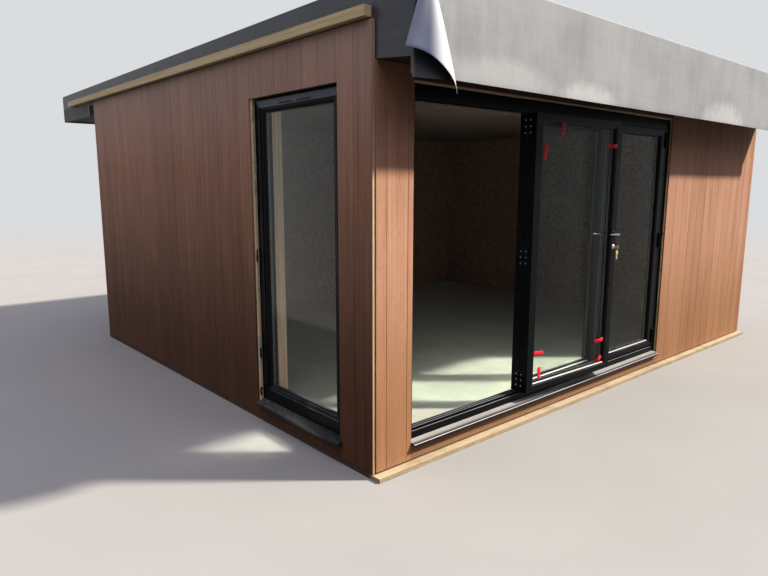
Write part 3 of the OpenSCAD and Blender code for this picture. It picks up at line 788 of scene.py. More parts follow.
# Near-black copy of the strand board for the soffit, the rear canopy and the window reveal: painted
# shade.
STRAND_PAINTED_SHADE = StrandBoard(name="strand_board_pressed_painted_shade", deep="#211a17", middle="#2c2420",
                          pale="#382e29", gloss=0.03)
STRAND_PALE = StrandBoard(
    name="strand_board_pressed_ceiling", deep="#5a4e4b", middle="#75675f", pale="#897b74")
CHIPBOARD = FloorBoard()
CONCRETE = Concrete()
GLASS = FloatGlass()
GLASS_VEILED = FloatGlass(name="glass_float_sealed", index=1.16)
STEEL = Metal()
# Darker copy of the steel for the outer lever: a painted dark reflection of dark surroundings.
STEEL_DIMMED_REFLECTION = Metal(name="steel_polished_dark_reflection", colour="#94979c", shadow="#6c6f75", roughness=0.2)
BRASS = Metal(name="brass_turned", colour="#f2dfa6", shadow="#c4ab70", roughness=0.38)
ZINC = Metal(name="steel_zinc_plated", colour="#cfd0d2", shadow="#a4a6aa", roughness=0.35)
# Pale grey for the strip between the shut leaves: a painted highlight, the bright line along their
# meeting edges.
STRIP_PAINTED_HIGHLIGHT = Speckled(name="rubber_extruded_strip_painted_highlight", ground="#484b4e", grain="#585b5e", gloss=0.1)
RUBBER = Speckled(name="rubber_extruded_seal", ground="#0d0e0f", grain="#1a1b1c", gloss=0.12)
FOAM = Speckled(name="polyurethane_foam_expanded", ground="#131211", grain="#26221d",
                grain_mm=6.0, relief_mm=3.0, roughness=0.95, gloss=0.05)
WOOL = Speckled(name="polyester_wadding_torn", ground="#b9b4a8", grain="#e6e2d8", grain_mm=9.0,
                relief_mm=3.0, roughness=0.95)
TAPE = Speckled(name="vinyl_tape_calendered", ground="#e01a2c", grain="#f23a48", grain_mm=8.0,
                roughness=0.45, relief_mm=0.1, gloss=0.15)
SPACER = Speckled(name="aluminium_spacer_rolled", ground="#2b2d30", grain="#43464a",
                  grain_mm=1.5, roughness=0.4, relief_mm=0.1)


# Where things stand

@dataclass(frozen=True)
class Plan:
    """The pod's plan: its front left cladding corner and the reach of the cladding."""

    left: float
    front: float
    width: float
    depth: float

    @classmethod
    def of_frame(cls) -> "Plan":
        """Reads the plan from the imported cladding.

        Returns:
            The plan.
        """
        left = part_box("left_cladding")[0]
        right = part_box("right_cladding")[1]
        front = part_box("front_cladding_left")[0]
        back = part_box("back_cladding")[1]
        return cls(left.x, front.y, right.x - left.x, back.y - front.y)

    def matrix(self) -> Matrix:
        """Places a point given from the front left corner and the ground."""
        return Matrix.Translation((self.left, self.front, 0.0))


class Side(Enum):
    """A wall, seen as (distance along it, depth inwards from its outer face, height)."""

    FRONT = "front"
    LEFT = "left"
    RIGHT = "right"
    BACK = "back"

    def matrix(self, plan: Plan) -> Matrix:
        """Places a point given in the wall's own directions.

        Args:
            plan: The pod's plan.

        Returns:
            The matrix to the frame.
        """
        across, inwards, start = {
            Side.FRONT: ((1, 0, 0), (0, 1, 0), (0, 0, 0)),
            Side.BACK: ((1, 0, 0), (0, -1, 0), (0, plan.depth, 0)),
            Side.LEFT: ((0, 1, 0), (1, 0, 0), (0, 0, 0)),
            Side.RIGHT: ((0, 1, 0), (-1, 0, 0), (plan.width, 0, 0))}[self]
        rows = [(across[i], inwards[i], 1.0 if i == 2 else 0.0, start[i]) for i in range(3)]
        return plan.matrix() @ Matrix((*rows, (0, 0, 0, 1)))


# Mesh building

def circle(steps: int) -> list[Pair]:
    """Returns the cosine and the sine of even turns round a circle."""
    turns = [2 * math.pi * k / steps for k in range(steps)]
    return [(math.cos(turn), math.sin(turn)) for turn in turns]


def wave(*point: float) -> float:
    """Returns smooth noise from -1 to 1 at a point."""
    return noise.noise(Vector(point))


def stand(name: str, data: bpy.types.ID) -> bpy.types.Object:
    """Makes an object and puts it in the scene.

    Args:
        name: Its name.
        data: Its mesh, lamp or camera.

    Returns:
        The object.
    """
    made = bpy.data.objects.new(name, data)
    bpy.context.scene.collection.objects.link(made)
    return made


def thicken(made: bpy.types.Object, thick: float, offset: float = 0.0, inner: int = 0) -> None:
    """Gives an open surface its thickness.

    Args:
        made: The piece.
        thick: The thickness.
        offset: -1 to grow inwards, 1 to grow outwards, 0 to grow both ways.
        inner: Number of finishes to count on for the far face.
    """
    solid = made.modifiers.new("thickness", "SOLIDIFY")
    solid.thickness = thick
    solid.offset = offset
    solid.material_offset = inner


def dress(finish: Finish, edge_mm: float, *nodes: str) -> None:
    """Gives CAD nodes their finish and a rounded edge.

    Args:
        finish: Their finish.
        edge_mm: Width of the rounded edge.
        nodes: The nodes' names.
    """
    for node in nodes:
        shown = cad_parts[node]
        shown.data.materials.clear()
        shown.data.materials.append(finish.material())
        bevel = shown.modifiers.new("edge", "BEVEL")
        bevel.width = edge_mm * MM
        bevel.segments = 2
        bevel.limit_method = "ANGLE"
        bevel.harden_normals = True
        LOG.info("%s: dressed", node)


class Shape:
    """Gathers solids in one mesh, in the directions of the place that it is given."""

    def __init__(self, place: Matrix) -> None:
        """Starts an empty mesh.

        Args:
            place: Where the shape's own directions lie in the frame.
        """
        self.place = place
        self.mesh = bmesh.new()
        self.tone = self.mesh.faces.layers.float.new("tone")

    def _mark(self, old: set[bmesh.types.BMFace], finish: int, tone: float = 0.5) -> None:
        """Gives the faces that weren't there before a finish and a tone.

        Args:
            old: The faces that were there.
            finish: Number of the finish.
            tone: Shade among their like.
        """
        for face in self.mesh.faces:
            if face not in old:
                face.material_index = finish
                face[self.tone] = tone

    def _join(self, row: Sequence[bmesh.types.BMVert], after: Sequence[bmesh.types.BMVert]) -> None:
        """Closes the band of faces between two rings of points.

        Args:
            row: The points of one ring.
            after: The points of the next.
        """
        for i in range(len(row)):
            j = (i + 1) % len(row)
            self.mesh.faces.new((row[i], row[j], after[j], after[i]))

    def plate(self, outline: Sequence[Pair], low: float, high: float, axis: Axis = Axis.Y,
              chamfer: float = 0.0, where: Callable[[Vector, Vector], bool] | None = None,
              finish: int = 0, tone: float = 0.5) -> None:
        """Adds a flat outline drawn out along an axis.

        Args:
            outline: Corners in the two other directions, in order.
            low: Where it starts along the axis.
            high: Where it ends.
            axis: The direction that it is drawn out in.
            chamfer: Width of the chamfer.
            where: Picks the edges to chamfer by their ends; every edge if left out.
            finish: Number of the finish.
            tone: Shade of this solid among its like, from 0 to 1.
        """
        old = set(self.mesh.faces)
        rings = []
        for level in (low, high):
            ring = []
            for a, b in outline:
                spot = {Axis.X: (level, a, b), Axis.Y: (a, level, b), Axis.Z: (a, b, level)}[axis]
                ring.append(self.mesh.verts.new(spot))
            rings.append(ring)
        self.mesh.faces.new(rings[0])
        self.mesh.faces.new(rings[1][::-1])
        self._join(rings[0], rings[1])
        if chamfer > 0:
            edges = {e for v in rings[0] + rings[1] for e in v.link_edges}
            chosen = [e for e in edges if where is None or where(e.verts[0].co, e.verts[1].co)]
            bmesh.ops.bevel(
                self.mesh, geom=chosen, offset=chamfer, segments=1, affect="EDGES", profile=0.5)
        self._mark(old, finish, tone)

    def block(self, low: Point, high: Point, chamfer: float = 0.0, finish: int = 0,
              tone: float = 0.5) -> None:
        """Adds a box with chamfered edges from its lowest to its highest corner."""
        outline = [(low[0], low[2]), (high[0], low[2]), (high[0], high[2]), (low[0], high[2])]
        self.plate(outline, low[1], high[1], chamfer=chamfer, finish=finish, tone=tone)

    def ring(self, low: Pair, high: Pair, loops: Sequence[Four], finish: int = 0) -> None:
        """Adds a mitred frame round an upright rectangle.

        Args:
            low: Its lower corner, along the wall and up.
            high: Its upper corner.
            loops: Round the section, each as insets at the sides, head and foot, and the depth.
            finish: Number of the finish.
        """
        old = set(self.mesh.faces)
        rows = []
        for side, head, foot, depth in loops:
            spots = ((low[0] + side, low[1] + foot), (high[0] - side, low[1] + foot),
                     (high[0] - side, high[1] - head), (low[0] + side, high[1] - head))
            rows.append([self.mesh.verts.new((a, depth, z)) for a, z in spots])
        for row, after in zip(rows, rows[1:] + rows[:1]):
            self._join(row, after)
        self._mark(old, finish)

    def tube(self, path: Sequence[Point], radii: Sequence[float], sides: int,
             squash: float = 1.0, finish: int = 0) -> None:
        """Adds a round bar along a path, closed at both ends.

        Args:
            path: The points of its centreline.
            radii: The radius at each point; 0 closes it to a tip.
            sides: Number of faces round it.
            squash: Height of the section against its width.
            finish: Number of the finish.
        """
        old = set(self.mesh.faces)
        points = [Vector(p) for p in path]
        rows = []
        guide = Vector((0.0, 0.0, 1.0))
        for i, point in enumerate(points):
            before = points[max(i - 1, 0)]
            after = points[min(i + 1, len(points) - 1)]
            ahead = (after - before).normalized()
            if abs(ahead.dot(guide)) > 0.9:
                guide = Vector((1.0, 0.0, 0.0))
            side = ahead.cross(guide).normalized()
            up = side.cross(ahead).normalized()
            radius = max(radii[i], 1e-5)
            rows.append([self.mesh.verts.new(point + (side * c + up * s * squash) * radius)
                         for c, s in circle(sides)])
        for row, after in zip(rows, rows[1:]):
            self._join(row, after)
        self.mesh.faces.new(rows[0][::-1])
        self.mesh.faces.new(rows[-1])
        self._mark(old, finish)

    def turned(self, profile: Sequence[Pair], start: Point, way: Point, sides: int,
               finish: int = 0) -> None:
        """Adds a body turned round an axis, from distances along it and the radius at each."""
        path = [tuple(s + w * d for s, w in zip(start, way)) for d, _ in profile]
        self.tube(path, [radius for _, radius in profile], sides, finish=finish)

    def sheet(self, rows: Sequence[Sequence[Point]]) -> None:
        """Adds an open surface through rows of points.

        Args:
            rows: Rows of equal length.
        """
        old = set(self.mesh.faces)
        made = [[self.mesh.verts.new(p) for p in row] for row in rows]
        for row, after in zip(made, made[1:]):
            for k in range(len(row) - 1):
                self.mesh.faces.new((row[k], row[k + 1], after[k + 1], after[k]))
        self._mark(old, 0)

    def paint(self, finish: int, where: Callable[[Vector, Vector], bool]) -> None:
        """Gives some faces another finish.

        Args:
            finish: Number of the finish.
            where: Picks the faces by their middle and their normal.
        """
        for face in self.mesh.faces:
            if where(face.calc_center_median(), face.normal):
                face.material_index = finish

    def piece(self, name: str, finishes: Sequence[Finish], replaces: Sequence[str] = (),
              crease: float = 35.0, closed: bool = True) -> bpy.types.Object:
        """Makes the object and fixes it to the pod.

        Args:
            name: The piece's name.
            finishes: Its finishes, in the order of their numbers.
            replaces: CAD nodes that it stands for.
            crease: Angle in degrees over which an edge stays sharp.
            closed: Whether its solids are closed, so that faces can be turned outwards.

        Returns:
            The object.
        """
        bmesh.ops.transform(self.mesh, matrix=self.place, verts=self.mesh.verts)
        if closed:
            bmesh.ops.recalc_face_normals(self.mesh, faces=self.mesh.faces)
        data = bpy.data.meshes.new(name)
        self.mesh.to_mesh(data)
        self.mesh.free()
        data.shade_smooth()
        data.set_sharp_from_angle(angle=math.radians(crease))
        made = stand(name, data)
        for finish in finishes:
            data.materials.append(finish.material())
        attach(made, ROOT)
        if replaces:
            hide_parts(*replaces)
        LOG.info("%s: %d faces", name, len(data.polygons))
        return made


# The pod's sub-assemblies

@dataclass
class BoardedWall:
    """Upright boards or panels side by side on one wall, cut round an opening."""

    side: Side
    start: float
    end: float
    low: float
    high: float
    outer: float
    inner: float
    first_joint: float
    seed: int
    pitch: float = 0.146
    joint: float = 0.002
    chamfer: float = 0.001
    narrowest: float = 0.01
    tongue: Pair | None = (0.008, 0.012)
    tongue_root: float = 0.001
    tongue_gap: float = 0.0001
    opening: Four | None = None
    cut_ends: Finish | None = None

    def spans(self) -> list[Pair]:
        """Divides the wall into boards.

        Returns:
            The two edges of each board.
        """
        edges = [self.start]
        at = self.first_joint
        while at <= self.start + self.narrowest:
            at += self.pitch
        while at < self.end - self.narrowest:
            edges.append(at)
            at += self.pitch
        edges.append(self.end)
        return list(zip(edges, edges[1:]))

    def outlines(self, a: float, b: float) -> list[list[Pair]]:
        """Cuts one board round the opening.

        Args:
            a: The board's one edge.
            b: Its other edge.

        Returns:
            The outlines that are left of it.
        """
        plain = [(a, self.low), (b, self.low), (b, self.high), (a, self.high)]
        if not self.opening:
            return [plain]
        u0, u1, z0, z1 = self.opening
        if b <= u0 or a >= u1:
            return [plain]
        if a >= u0 and b <= u1:
            return [[plain[0], plain[1], (b, z0), (a, z0)], [(a, z1), (b, z1), plain[2], plain[3]]]
        if a < u0:
            return [[plain[0], plain[1], (b, z0), (u0, z0), (u0, z1), (b, z1), plain[2], plain[3]]]
        return [[*plain, (a, z1), (u1, z1), (u1, z0), (a, z0)]]

    def tongues(self, shape: Shape, outline: Sequence[Pair], edge: float) -> None:
        """Adds the tongue that closes the joint beside a board.

        Args:
            shape: The shape that it goes into.
            outline: The board's outline.
            edge: The board's edge at the joint.
        """
        near, far = self.outer + self.tongue[0], self.outer + self.tongue[1]
        for p, q in zip(outline, [*outline[1:], outline[0]]):
            if abs(p[0] - edge) < SAME and abs(q[0] - edge) < SAME:
                low, high = sorted((p[1], q[1]))
                shape.block((edge - self.tongue_root, near, low),
                            (edge + self.joint - self.tongue_gap, far, high), tone=0.0)

    def build(self, plan: Plan, name: str, finish: Finish, slot: str, node: str) -> None:
        """Makes the wall's boards as one piece.

        Args:
            plan: The pod's plan.
            name: The piece's name.
            finish: The boards' finish.
            slot: Not used.
            node: The CAD node that it stands for.
        """
        draw = random.Random(self.seed)
        shape = Shape(self.side.matrix(plan))
        spans = self.spans()
        half = self.joint / 2
        for number, (start, end) in enumerate(spans):
            last = number + 1 == len(spans)
            a = start + (half if number else 0.0)
            b = end - (0.0 if last else half)
            tone = draw.random()

            def on_edge(p: Vector, q: Vector, a: float = a, b: float = b) -> bool:
                """Tells an upright edge of the board's face from the rest."""
                upright = abs(p.z - q.z) > 1e-4 and abs(p.x - q.x) < SAME
                front = abs(p.y - self.outer) < SAME and abs(q.y - self.outer) < SAME
                return upright and front and min(abs(p.x - a), abs(p.x - b)) < SAME

            for outline in self.outlines(a, b):
                shape.plate(
                    outline, self.outer, self.inner, chamfer=self.chamfer, where=on_edge, tone=tone)
                if self.tongue and not last:
                    self.tongues(shape, outline, b)
        finishes = [finish]
        if self.cut_ends:
            shape.paint(1, lambda at, _: min(abs(at.x - self.start), abs(at.x - self.end)) < 1e-5)
            finishes.append(self.cut_ends)
        shape.piece(name, finishes, [node])


@dataclass
class Cladding:
    """Composite boards on the four walls, with the board under the door and the one over it."""

    plan: Plan
    thick: float = 0.016
    low: float = 0.030
    front_low: float = 0.037
    front_top: float = 2.128
    side_top: float = 2.310
    back_top: float = 2.200
    face_gap: float = 0.019
    side_step: float = 0.006
    header_low: float = 2.0625
    skirt_top: float = 0.114
    pier_joint: float = 0.090
    lying_gap: float = 0.0003
    lying_chamfer: float = 0.0015

    def build(self) -> None:
        """Builds the boards of every wall."""
        near, far = self.face_gap, self.plan.width - self.face_gap
        face, flank = (self.front_low, self.front_top), (self.low, self.side_top)
        step, end = self.side_step, self.plan.depth - self.side_step
        for name, node, side, ends, heights, joint, seed in (
                ("front_left", "front_cladding_left", Side.FRONT, (near, DOORWAY[0]), face,
                 self.pier_joint, 23),
                ("front_right", "front_cladding_right", Side.FRONT, (DOORWAY[1], far), face,
                 DOORWAY[1], 12),
                ("left", "left_cladding", Side.LEFT, (step, end), flank, step, 13),
                ("right", "right_cladding", Side.RIGHT, (step, end), flank, step, 14),
                ("back", "back_cladding", Side.BACK, (near, far), (self.low, self.back_top), near,
                 15)):
            wall = BoardedWall(side, *ends, *heights, 0.0, self.thick, joint, seed)
            if side is Side.LEFT:
                wall.opening = WINDOW_HOLE
            if side in (Side.LEFT, Side.RIGHT):
                # The cut ends take the pale copy, a painted highlight.
                wall.cut_ends = BOARD_CUT_PAINTED_HIGHLIGHT
            wall.build(self.plan, "cladding_" + name,
                       BOARD if side is Side.FRONT else BOARD_PAINTED_SHADE_AND_SKY, BOARDS, node)
        self.lying_boards()

    def lying_boards(self) -> None:
        """Builds the boards that lie under the sill and over the door."""
        shape = Shape(self.plan.matrix())
        x0, x1 = DOORWAY[0] + self.lying_gap, DOORWAY[1] - self.lying_gap
        for number, (low, high, tone) in enumerate((
            (self.front_low, self.skirt_top, 0.45), (self.header_low, self.front_top, 0.1))):
            shape.block((x0, 0.0, low), (x1, self.thick, high), self.lying_chamfer, number, tone)
        # The header board takes the dark copy, painted shade under the eaves.
        shape.piece("cladding_skirt_and_header", [BOARD_FLAT, BOARD_HEADER_PAINTED_SHADE],
                    ["front_cladding_skirt", "front_cladding_header"])


@dataclass
class Room:
    """Base, floor boards, wall panels and ceiling boards."""

    plan: Plan
    floor_low: float = 0.025
    floor_high: float = 0.105
    board_t: float = 0.020
    ceiling_t: float = 0.012
    panel_outer: float = 0.016
    panel_inner: float = 0.156
    roof_low: float = 2.142
    panel_pitch: float = 1.22
    floor_size: Pair = (2.4, 0.6)
    ceiling_size: Pair = (2.44, 1.22)
    board_gap: float = 0.0006
    board_chamfer: float = 0.0008

    def build(self) -> None:
        """Builds the floor, the walls and the ceiling."""
        dress(CONCRETE, 5.0, "base_slab")
        dress(PINE_ACROSS, 1.0, "door_sill_plate")
        dress(STRAND, 1.0, "front_wall_left", "front_wall_right", "front_wall_lintel")
        # The soffit takes the near-black board, painted shade.
        dress(STRAND_PAINTED_SHADE, 1.0, "front_soffit")
        self.floor()
        self.walls()
        self.ceiling()

    def boards(self, shape: Shape, z: Pair, size: Pair, seed: int) -> None:
        """Lays boards over the whole room in rows, each row shifted by half a board.

        Args:
            shape: The shape that they go into.
            z: Underside and top.
            size: Length along X and width along Y.
            seed: Seed for the boards' tones.
        """
        draw = random.Random(seed)
        gap, x0, y = self.board_gap, self.panel_inner, self.panel_inner
        x1, y1 = self.plan.width - self.panel_inner, self.plan.depth - self.panel_inner
        row = 0
        while y < y1 - 0.02:
            x = x0 - (size[0] / 2 if row % 2 else 0.0)
            far = min(y + size[1], y1)
            while x < x1 - 0.02:
                start, end = max(x, x0), min(x + size[0], x1)
                if end - start > 0.01:
                    shape.block((start + gap, y + gap, z[0]), (end - gap, far - gap, z[1]),
                                self.board_chamfer, 0, draw.random())
                x += size[0]
            y = far
            row += 1

    def floor(self) -> None:
        """Builds the insulated panel and the boards on it."""
        t, top = self.panel_inner, self.floor_high - self.board_t
        shape = Shape(self.plan.matrix())
        shape.block((t, t, self.floor_low),
                    (self.plan.width - t, self.plan.depth - t, top - 2 * HAIR), 0.001, 1)
        self.boards(shape, (top, self.floor_high), self.floor_size, 21)
        shape.piece("floor_boards", [CHIPBOARD, FOAM], ["floor_panel"])

    def ceiling(self) -> None:
        """Builds the boards of the ceiling."""
        shape = Shape(self.plan.matrix())
        self.boards(shape, (self.roof_low - self.ceiling_t, self.roof_low), self.ceiling_size, 22)
        shape.piece("ceiling_boards", [STRAND_PALE], ["ceiling_lining"])

    def walls(self) -> None:
        """Builds the panels of the two sides and the back."""
        inner, outer = self.panel_inner, self.panel_outer
        for side, node, start, reach, opening, seed in (
                (Side.LEFT, "left_wall", inner, self.plan.depth, WINDOW_HOLE, 31),
                (Side.RIGHT, "right_wall", inner, self.plan.depth, None, 32),
                (Side.BACK, "back_wall", outer, self.plan.width, None, 33)):
            wall = BoardedWall(
                side, start, reach - start, self.floor_low, self.roof_low, inner, outer, start,
                seed, self.panel_pitch, 0.0015, self.board_chamfer, tongue=None, opening=opening)
            wall.build(self.plan, node + "_panels", STRAND, "wall_board", node)


@dataclass
class GlazedFrame:
    """A mitred frame with stepped faces, rubber seals and a sealed double pane."""

    low: Pair
    high: Pair
    face: float
    back: float
    side: float
    head: float
    foot: float
    bead: float = 0.015
    chamfer: float = 0.0015
    step: float = 0.003
    slope: float = 0.009
    pane_t: float = 0.004
    unit_t: float = 0.024
    seal_t: float = 0.0025
    seal_w: float = 0.009
    spacer_w: float = 0.012
    seal_back: float = 0.004
    pane_hold: float = 0.002

    def at(self, inset: float, depth: float) -> Four:
        """Gives one loop, inset from the frame's inner edge by a signed distance."""
        return self.side + inset, self.head + inset, self.foot + inset, depth

    def loops(self) -> list[Four]:
        """Draws the frame's section.

        Returns:
            The loops round it, from its outer front edge.
        """
        edge, face = self.chamfer, self.face
        near = [(0.0, 0.0, 0.0, face + edge), (edge, edge, edge, face), self.at(-edge, face),
                self.at(0.0, face + edge), self.at(0.0, face + self.step),
                self.at(self.bead * 0.55, face + self.step), self.at(self.bead, face + self.slope)]
        deep = self.back + face
        far = [(s, h, f, deep - depth) for s, h, f, depth in reversed(near)]
        return near + far

    def glass_span(self) -> Pair:
        """Returns the outer faces of the sealed unit."""
        middle = (self.face + self.back) / 2
        return middle - self.unit_t / 2, middle + self.unit_t / 2

    def build(self, place: Matrix, name: str) -> None:
        """Makes the frame, its seals and its pane.

        Args:
            place: The wall's or leaf's own directions.
            name: Start of the names of the pieces and of the CAD nodes that they stand for.
        """
        bars = Shape(place)
        bars.ring(self.low, self.high, self.loops())
        bars.mesh.normal_update()
        foot = self.low[1] + self.foot
        # The upward faces of the foot's bead take the pale coat, a painted glint.
        bars.paint(
            1, lambda at, normal: abs(normal.z) > 0.5 and 0.0 < at.z - foot < self.bead - 0.0005)
        bars.piece(name + "_frame_bars", [COAT, COAT_PAINTED_GLINT], [name + "_frame"], 20.0)
        near, far = self.glass_span()
        edge = self.bead - self.seal_back
        lip = edge + self.seal_w
        seals = Shape(place)
        for a, b in ((near - self.seal_t, near), (far, far + self.seal_t)):
            seals.ring(self.low, self.high, [
                self.at(edge, a), self.at(lip, a), self.at(lip + 0.001, (a + b) / 2),
                self.at(lip, b), self.at(edge, b)])
        inner, outer = near + self.pane_t, far - self.pane_t
        spacer = edge + self.spacer_w
        seals.ring(self.low, self.high, [self.at(edge, inner), self.at(spacer, inner),
                                         self.at(spacer, outer), self.at(edge, outer)], 1)
        seals.piece(name + "_seals", [RUBBER, SPACER])
        pane = Shape(place)
        side, head, foot, _ = self.at(edge - self.pane_hold, 0.0)
        for a, b in ((near, inner), (outer, far)):
            pane.block((self.low[0] + side, a, self.low[1] + foot),
                       (self.high[0] - side, b, self.high[1] - head), 0.0005)
        pane.piece(name + "_pane", [GLASS], [name + "_glass"])


@dataclass
class FoldingDoor:
    """The three-leaf folding door: frame, sill, threshold, leaves, hinges, handle and lock."""

    plan: Plan
    hinge: Pair = (1.265, 0.0215)
    lean: float = math.radians(2.0)
    leaf_low: float = 0.203
    leaf_high: float = 1.972
    lead_w: float = 0.965
    slim_w: float = 0.9185
    leaf_t: float = 0.060
    hinge_half_gap: float = 0.0025
    frame_y: float = 0.024
    side_gap: float = 0.0015
    stile: float = 0.060
    rail: float = 0.038
    meeting_w: float = 0.009
    meeting_t: float = 0.0025
    spindle: float = 0.929
    lever_z: float = 1.190
    lever_rise: float = 0.05
    lock_z: float = 1.102
    barrel_out: float = 0.014
    key_t: float = 0.0025
    ring_out: float = 0.034
    ring_drop: float = 0.012
    head_z: float = 2.060
    sill_z: float = 0.143
    sill_t: float = 0.025
    sill_x: Pair = (0.2743, 3.149)
    sill_bed_x: Pair = (0.262, 3.140)
    sill_out: float = 0.028
    sill_fall: float = 0.017
    sill_sheet: float = 0.0025
    sill_bead: float = 0.0028
    sill_drip: float = 0.012
    sill_joint: float = 0.016
    frame_d: float = 0.070
    packer_h: float = 0.0105
    packer_top: float = 0.0020
    packer_back: float = 0.0158
    head_gap: float = 0.014
    stud_w: float = 0.021
    stud_back: float = 0.080
    plate_out: float = 0.0043
    screw_depth: float = 0.020
    screw_pitch: float = 0.038
    screw_end: float = 0.080
    tape_w: float = 0.028
    tape_t: float = 0.0003

    def lead_place(self) -> Matrix:
        """Returns the lead leaf's own directions: away from the hinge, through it, and up."""
        move = Matrix.Translation((self.hinge[0], self.hinge[1], 0.0))
        return self.plan.matrix() @ move @ Matrix.Rotation(-self.lean, 4, "Z")

    def lead_face(self) -> float:
        """Returns the depth of the lead leaf's outer face."""
        return -self.hinge_half_gap - self.leaf_t

    def build(self) -> None:
        """Builds the whole door set."""
        self.packers()
        self.sill()
        dress(COAT_TRACK, 0.6, "door_threshold")
        dress(COAT, 1.2, "door_frame")
        dress(COAT, 0.5, "door_hinges")
        dress(COAT, 1.5, "door_rollers")
        face = self.lead_face()
        lead = GlazedFrame((0.0, self.leaf_low), (self.lead_w, self.leaf_high), face,
                           face + self.leaf_t, self.stile, self.rail, self.rail)
        lead.build(self.lead_place(), "lead_leaf")
        for name, start in (
            ("middle_leaf", self.hinge[0]), ("right_leaf", self.hinge[0] + self.slim_w)):
            leaf = GlazedFrame(
                (start + self.side_gap, self.leaf_low),
                (start + self.slim_w - self.side_gap, self.leaf_high), self.frame_y,
                self.frame_y + self.leaf_t, self.stile, self.rail, self.rail)
            leaf.build(self.plan.matrix(), name)
        self.meeting_highlight_strip()
        self.handle()
        self.lock()
        self.screws()
        self.tape(lead)

    def meeting_highlight_strip(self) -> None:
        """Builds a pale grey strip over the gap between the two shut leaves: a painted highlight."""
        shape = Shape(self.plan.matrix())
        middle, half = self.hinge[0] + self.slim_w, self.meeting_w / 2
        shape.block((middle - half, self.frame_y - self.meeting_t, self.leaf_low + 0.004),
                    (middle + half, self.frame_y - HAIR / 2, self.leaf_high - 0.004), 0.001)
        shape.piece("leaf_meeting_strip_painted_highlight", [STRIP_PAINTED_HIGHLIGHT])

    def sill(self) -> None:
        """Builds the pressed sill: a bed, a sloped sheet and a rolled bead along its front edge."""
        shape = Shape(self.plan.matrix())
        back, joint, bead = self.frame_y + self.frame_d, self.sill_joint, self.sill_bead
        front, fall = -self.sill_out, self.sill_fall / (self.sill_out + self.frame_y)
        crisp, low = 2 * HAIR, self.sill_z - self.sill_t

        def top(y: float) -> float:
            """Returns the sheet's height at a depth."""
            return self.sill_z - fall * (self.frame_y - y)

        bed = [(joint, low), (back, low), (back, self.sill_z), (self.frame_y, self.sill_z),
               (joint, top(joint))]
        shape.plate(bed, *self.sill_bed_x, Axis.X, crisp)
        behind, nose, inner = front + 2 * bead, top(front), front + self.sill_sheet
        section = [(joint - HAIR, top(joint)), (behind + bead, top(behind + bead)),
                   (behind, top(behind) + crisp)]
        for c, s in circle(12)[1:6]:
            section.append((front + bead + bead * c, nose + bead * s))
        section += [(front, nose - 3 * HAIR), (front, nose - self.sill_drip),
                    (inner, nose - self.sill_drip), (inner, nose - self.sill_sheet),
                    (joint - HAIR, top(joint) - self.sill_sheet)]
        shape.plate(section, *self.sill_x, Axis.X)
        # The rolled bead's top takes the pale coat, a painted glint along the lip.
        shape.paint(
            1, lambda at, normal: at.y < behind and at.z > nose - crisp and abs(normal.x) < 0.5)
        shape.piece("door_sill_pressed", [COAT_SILL, COAT_PAINTED_GLINT], ["door_sill"], 30.0)

    def packers(self) -> None:
        """Builds the short packers over the frame, the stud beside it with weathering and painted shade,
        and foam behind.
        """
        x0, x1 = DOORWAY
        back, frame_top = self.frame_y + self.frame_d, self.head_z - self.head_gap
        left = x1 - self.stud_w
        shape = Shape(self.plan.matrix())
        draw = random.Random(51)
        shape.block((x0 + 0.001, 0.018, frame_top + HAIR),
                    (left - 0.001, back, self.head_z - HAIR), finish=2)
        shape.block((left + HAIR, 0.016, self.sill_z), (x1 - 0.012, back, frame_top), finish=2)
        x = x0 + 0.001
        while x < x1 - 0.05:
            far = min(x + draw.uniform(0.09, 0.34), x1 - 0.001)
            low = self.head_z - self.packer_h + draw.uniform(-0.0015, 0.0015)
            near = 0.007 + draw.uniform(0.0, 0.004)
            shape.block(
                (x, near, low), (far, self.packer_back, self.head_z + self.packer_top), 0.0008)
            x = far + draw.uniform(0.001, 0.006)
        z = self.sill_z + 0.001
        while z < frame_top - 0.05:
            far = min(z + draw.uniform(0.20, 0.60), self.head_z - 0.001)
            inset = draw.uniform(0.011, 0.015)
            near = 0.008 + draw.uniform(0.0, 0.004)
            # The stud takes the greyed pine, weathered and with painted shade.
            shape.block((x1 - inset, near, z), (x1 - 0.0008, self.stud_back, far), 0.0008, 1)
            z = far + draw.uniform(0.002, 0.018)
        shape.piece(
            "door_packers_and_stud", [PINE_PACKER_BRIGHTENED_FOR_SHADE, PINE_WEATHERED_AND_SHADED, FOAM], ["door_packers"])

    def lever(self, shape: Shape, depth: float, way: int, run: Sequence[Point], sides: int) -> None:
        """Adds a lever, which comes out of the leaf and turns back towards the hinge.

        Args:
            shape: The shape that it goes into.
            depth: The face that it comes out of.
            way: -1 outwards, 1 into the gap between the leaves.
            run: Along the leaf, out of it and the radius, from the spindle to the tip.
            sides: Number of faces round it.
        """
        path = [(self.spindle - a, depth + way * d, self.lever_z + self.lever_rise * a)
                for a, d, _ in run]
        shape.tube(path, [radius for _, _, radius in run], sides)

    def handle(self) -> None:
        """Builds the lever on its rose, and the one between the leaves."""
        face = self.lead_face()
        shape = Shape(self.lead_place())
        rose = [(0.0, 0.026), (0.0015, 0.026), (0.006, 0.0245), (0.008, 0.021), (0.008, 0.0)]
        shape.turned(rose, (self.spindle, face, self.lever_z), OUTWARDS, 32, 1)
        run = [(0.0, 0.004, 0.0095), (0.0, 0.032, 0.0092), (0.001, 0.041, 0.0092),
               (0.006, 0.0465, 0.0090), (0.016, 0.048, 0.0086), (0.045, 0.047, 0.0072),
               (0.080, 0.046, 0.0056), (0.106, 0.045, 0.0046), (0.113, 0.045, 0.0036),
               (0.116, 0.045, 0.0)]
        self.lever(shape, face, -1, run, 20)
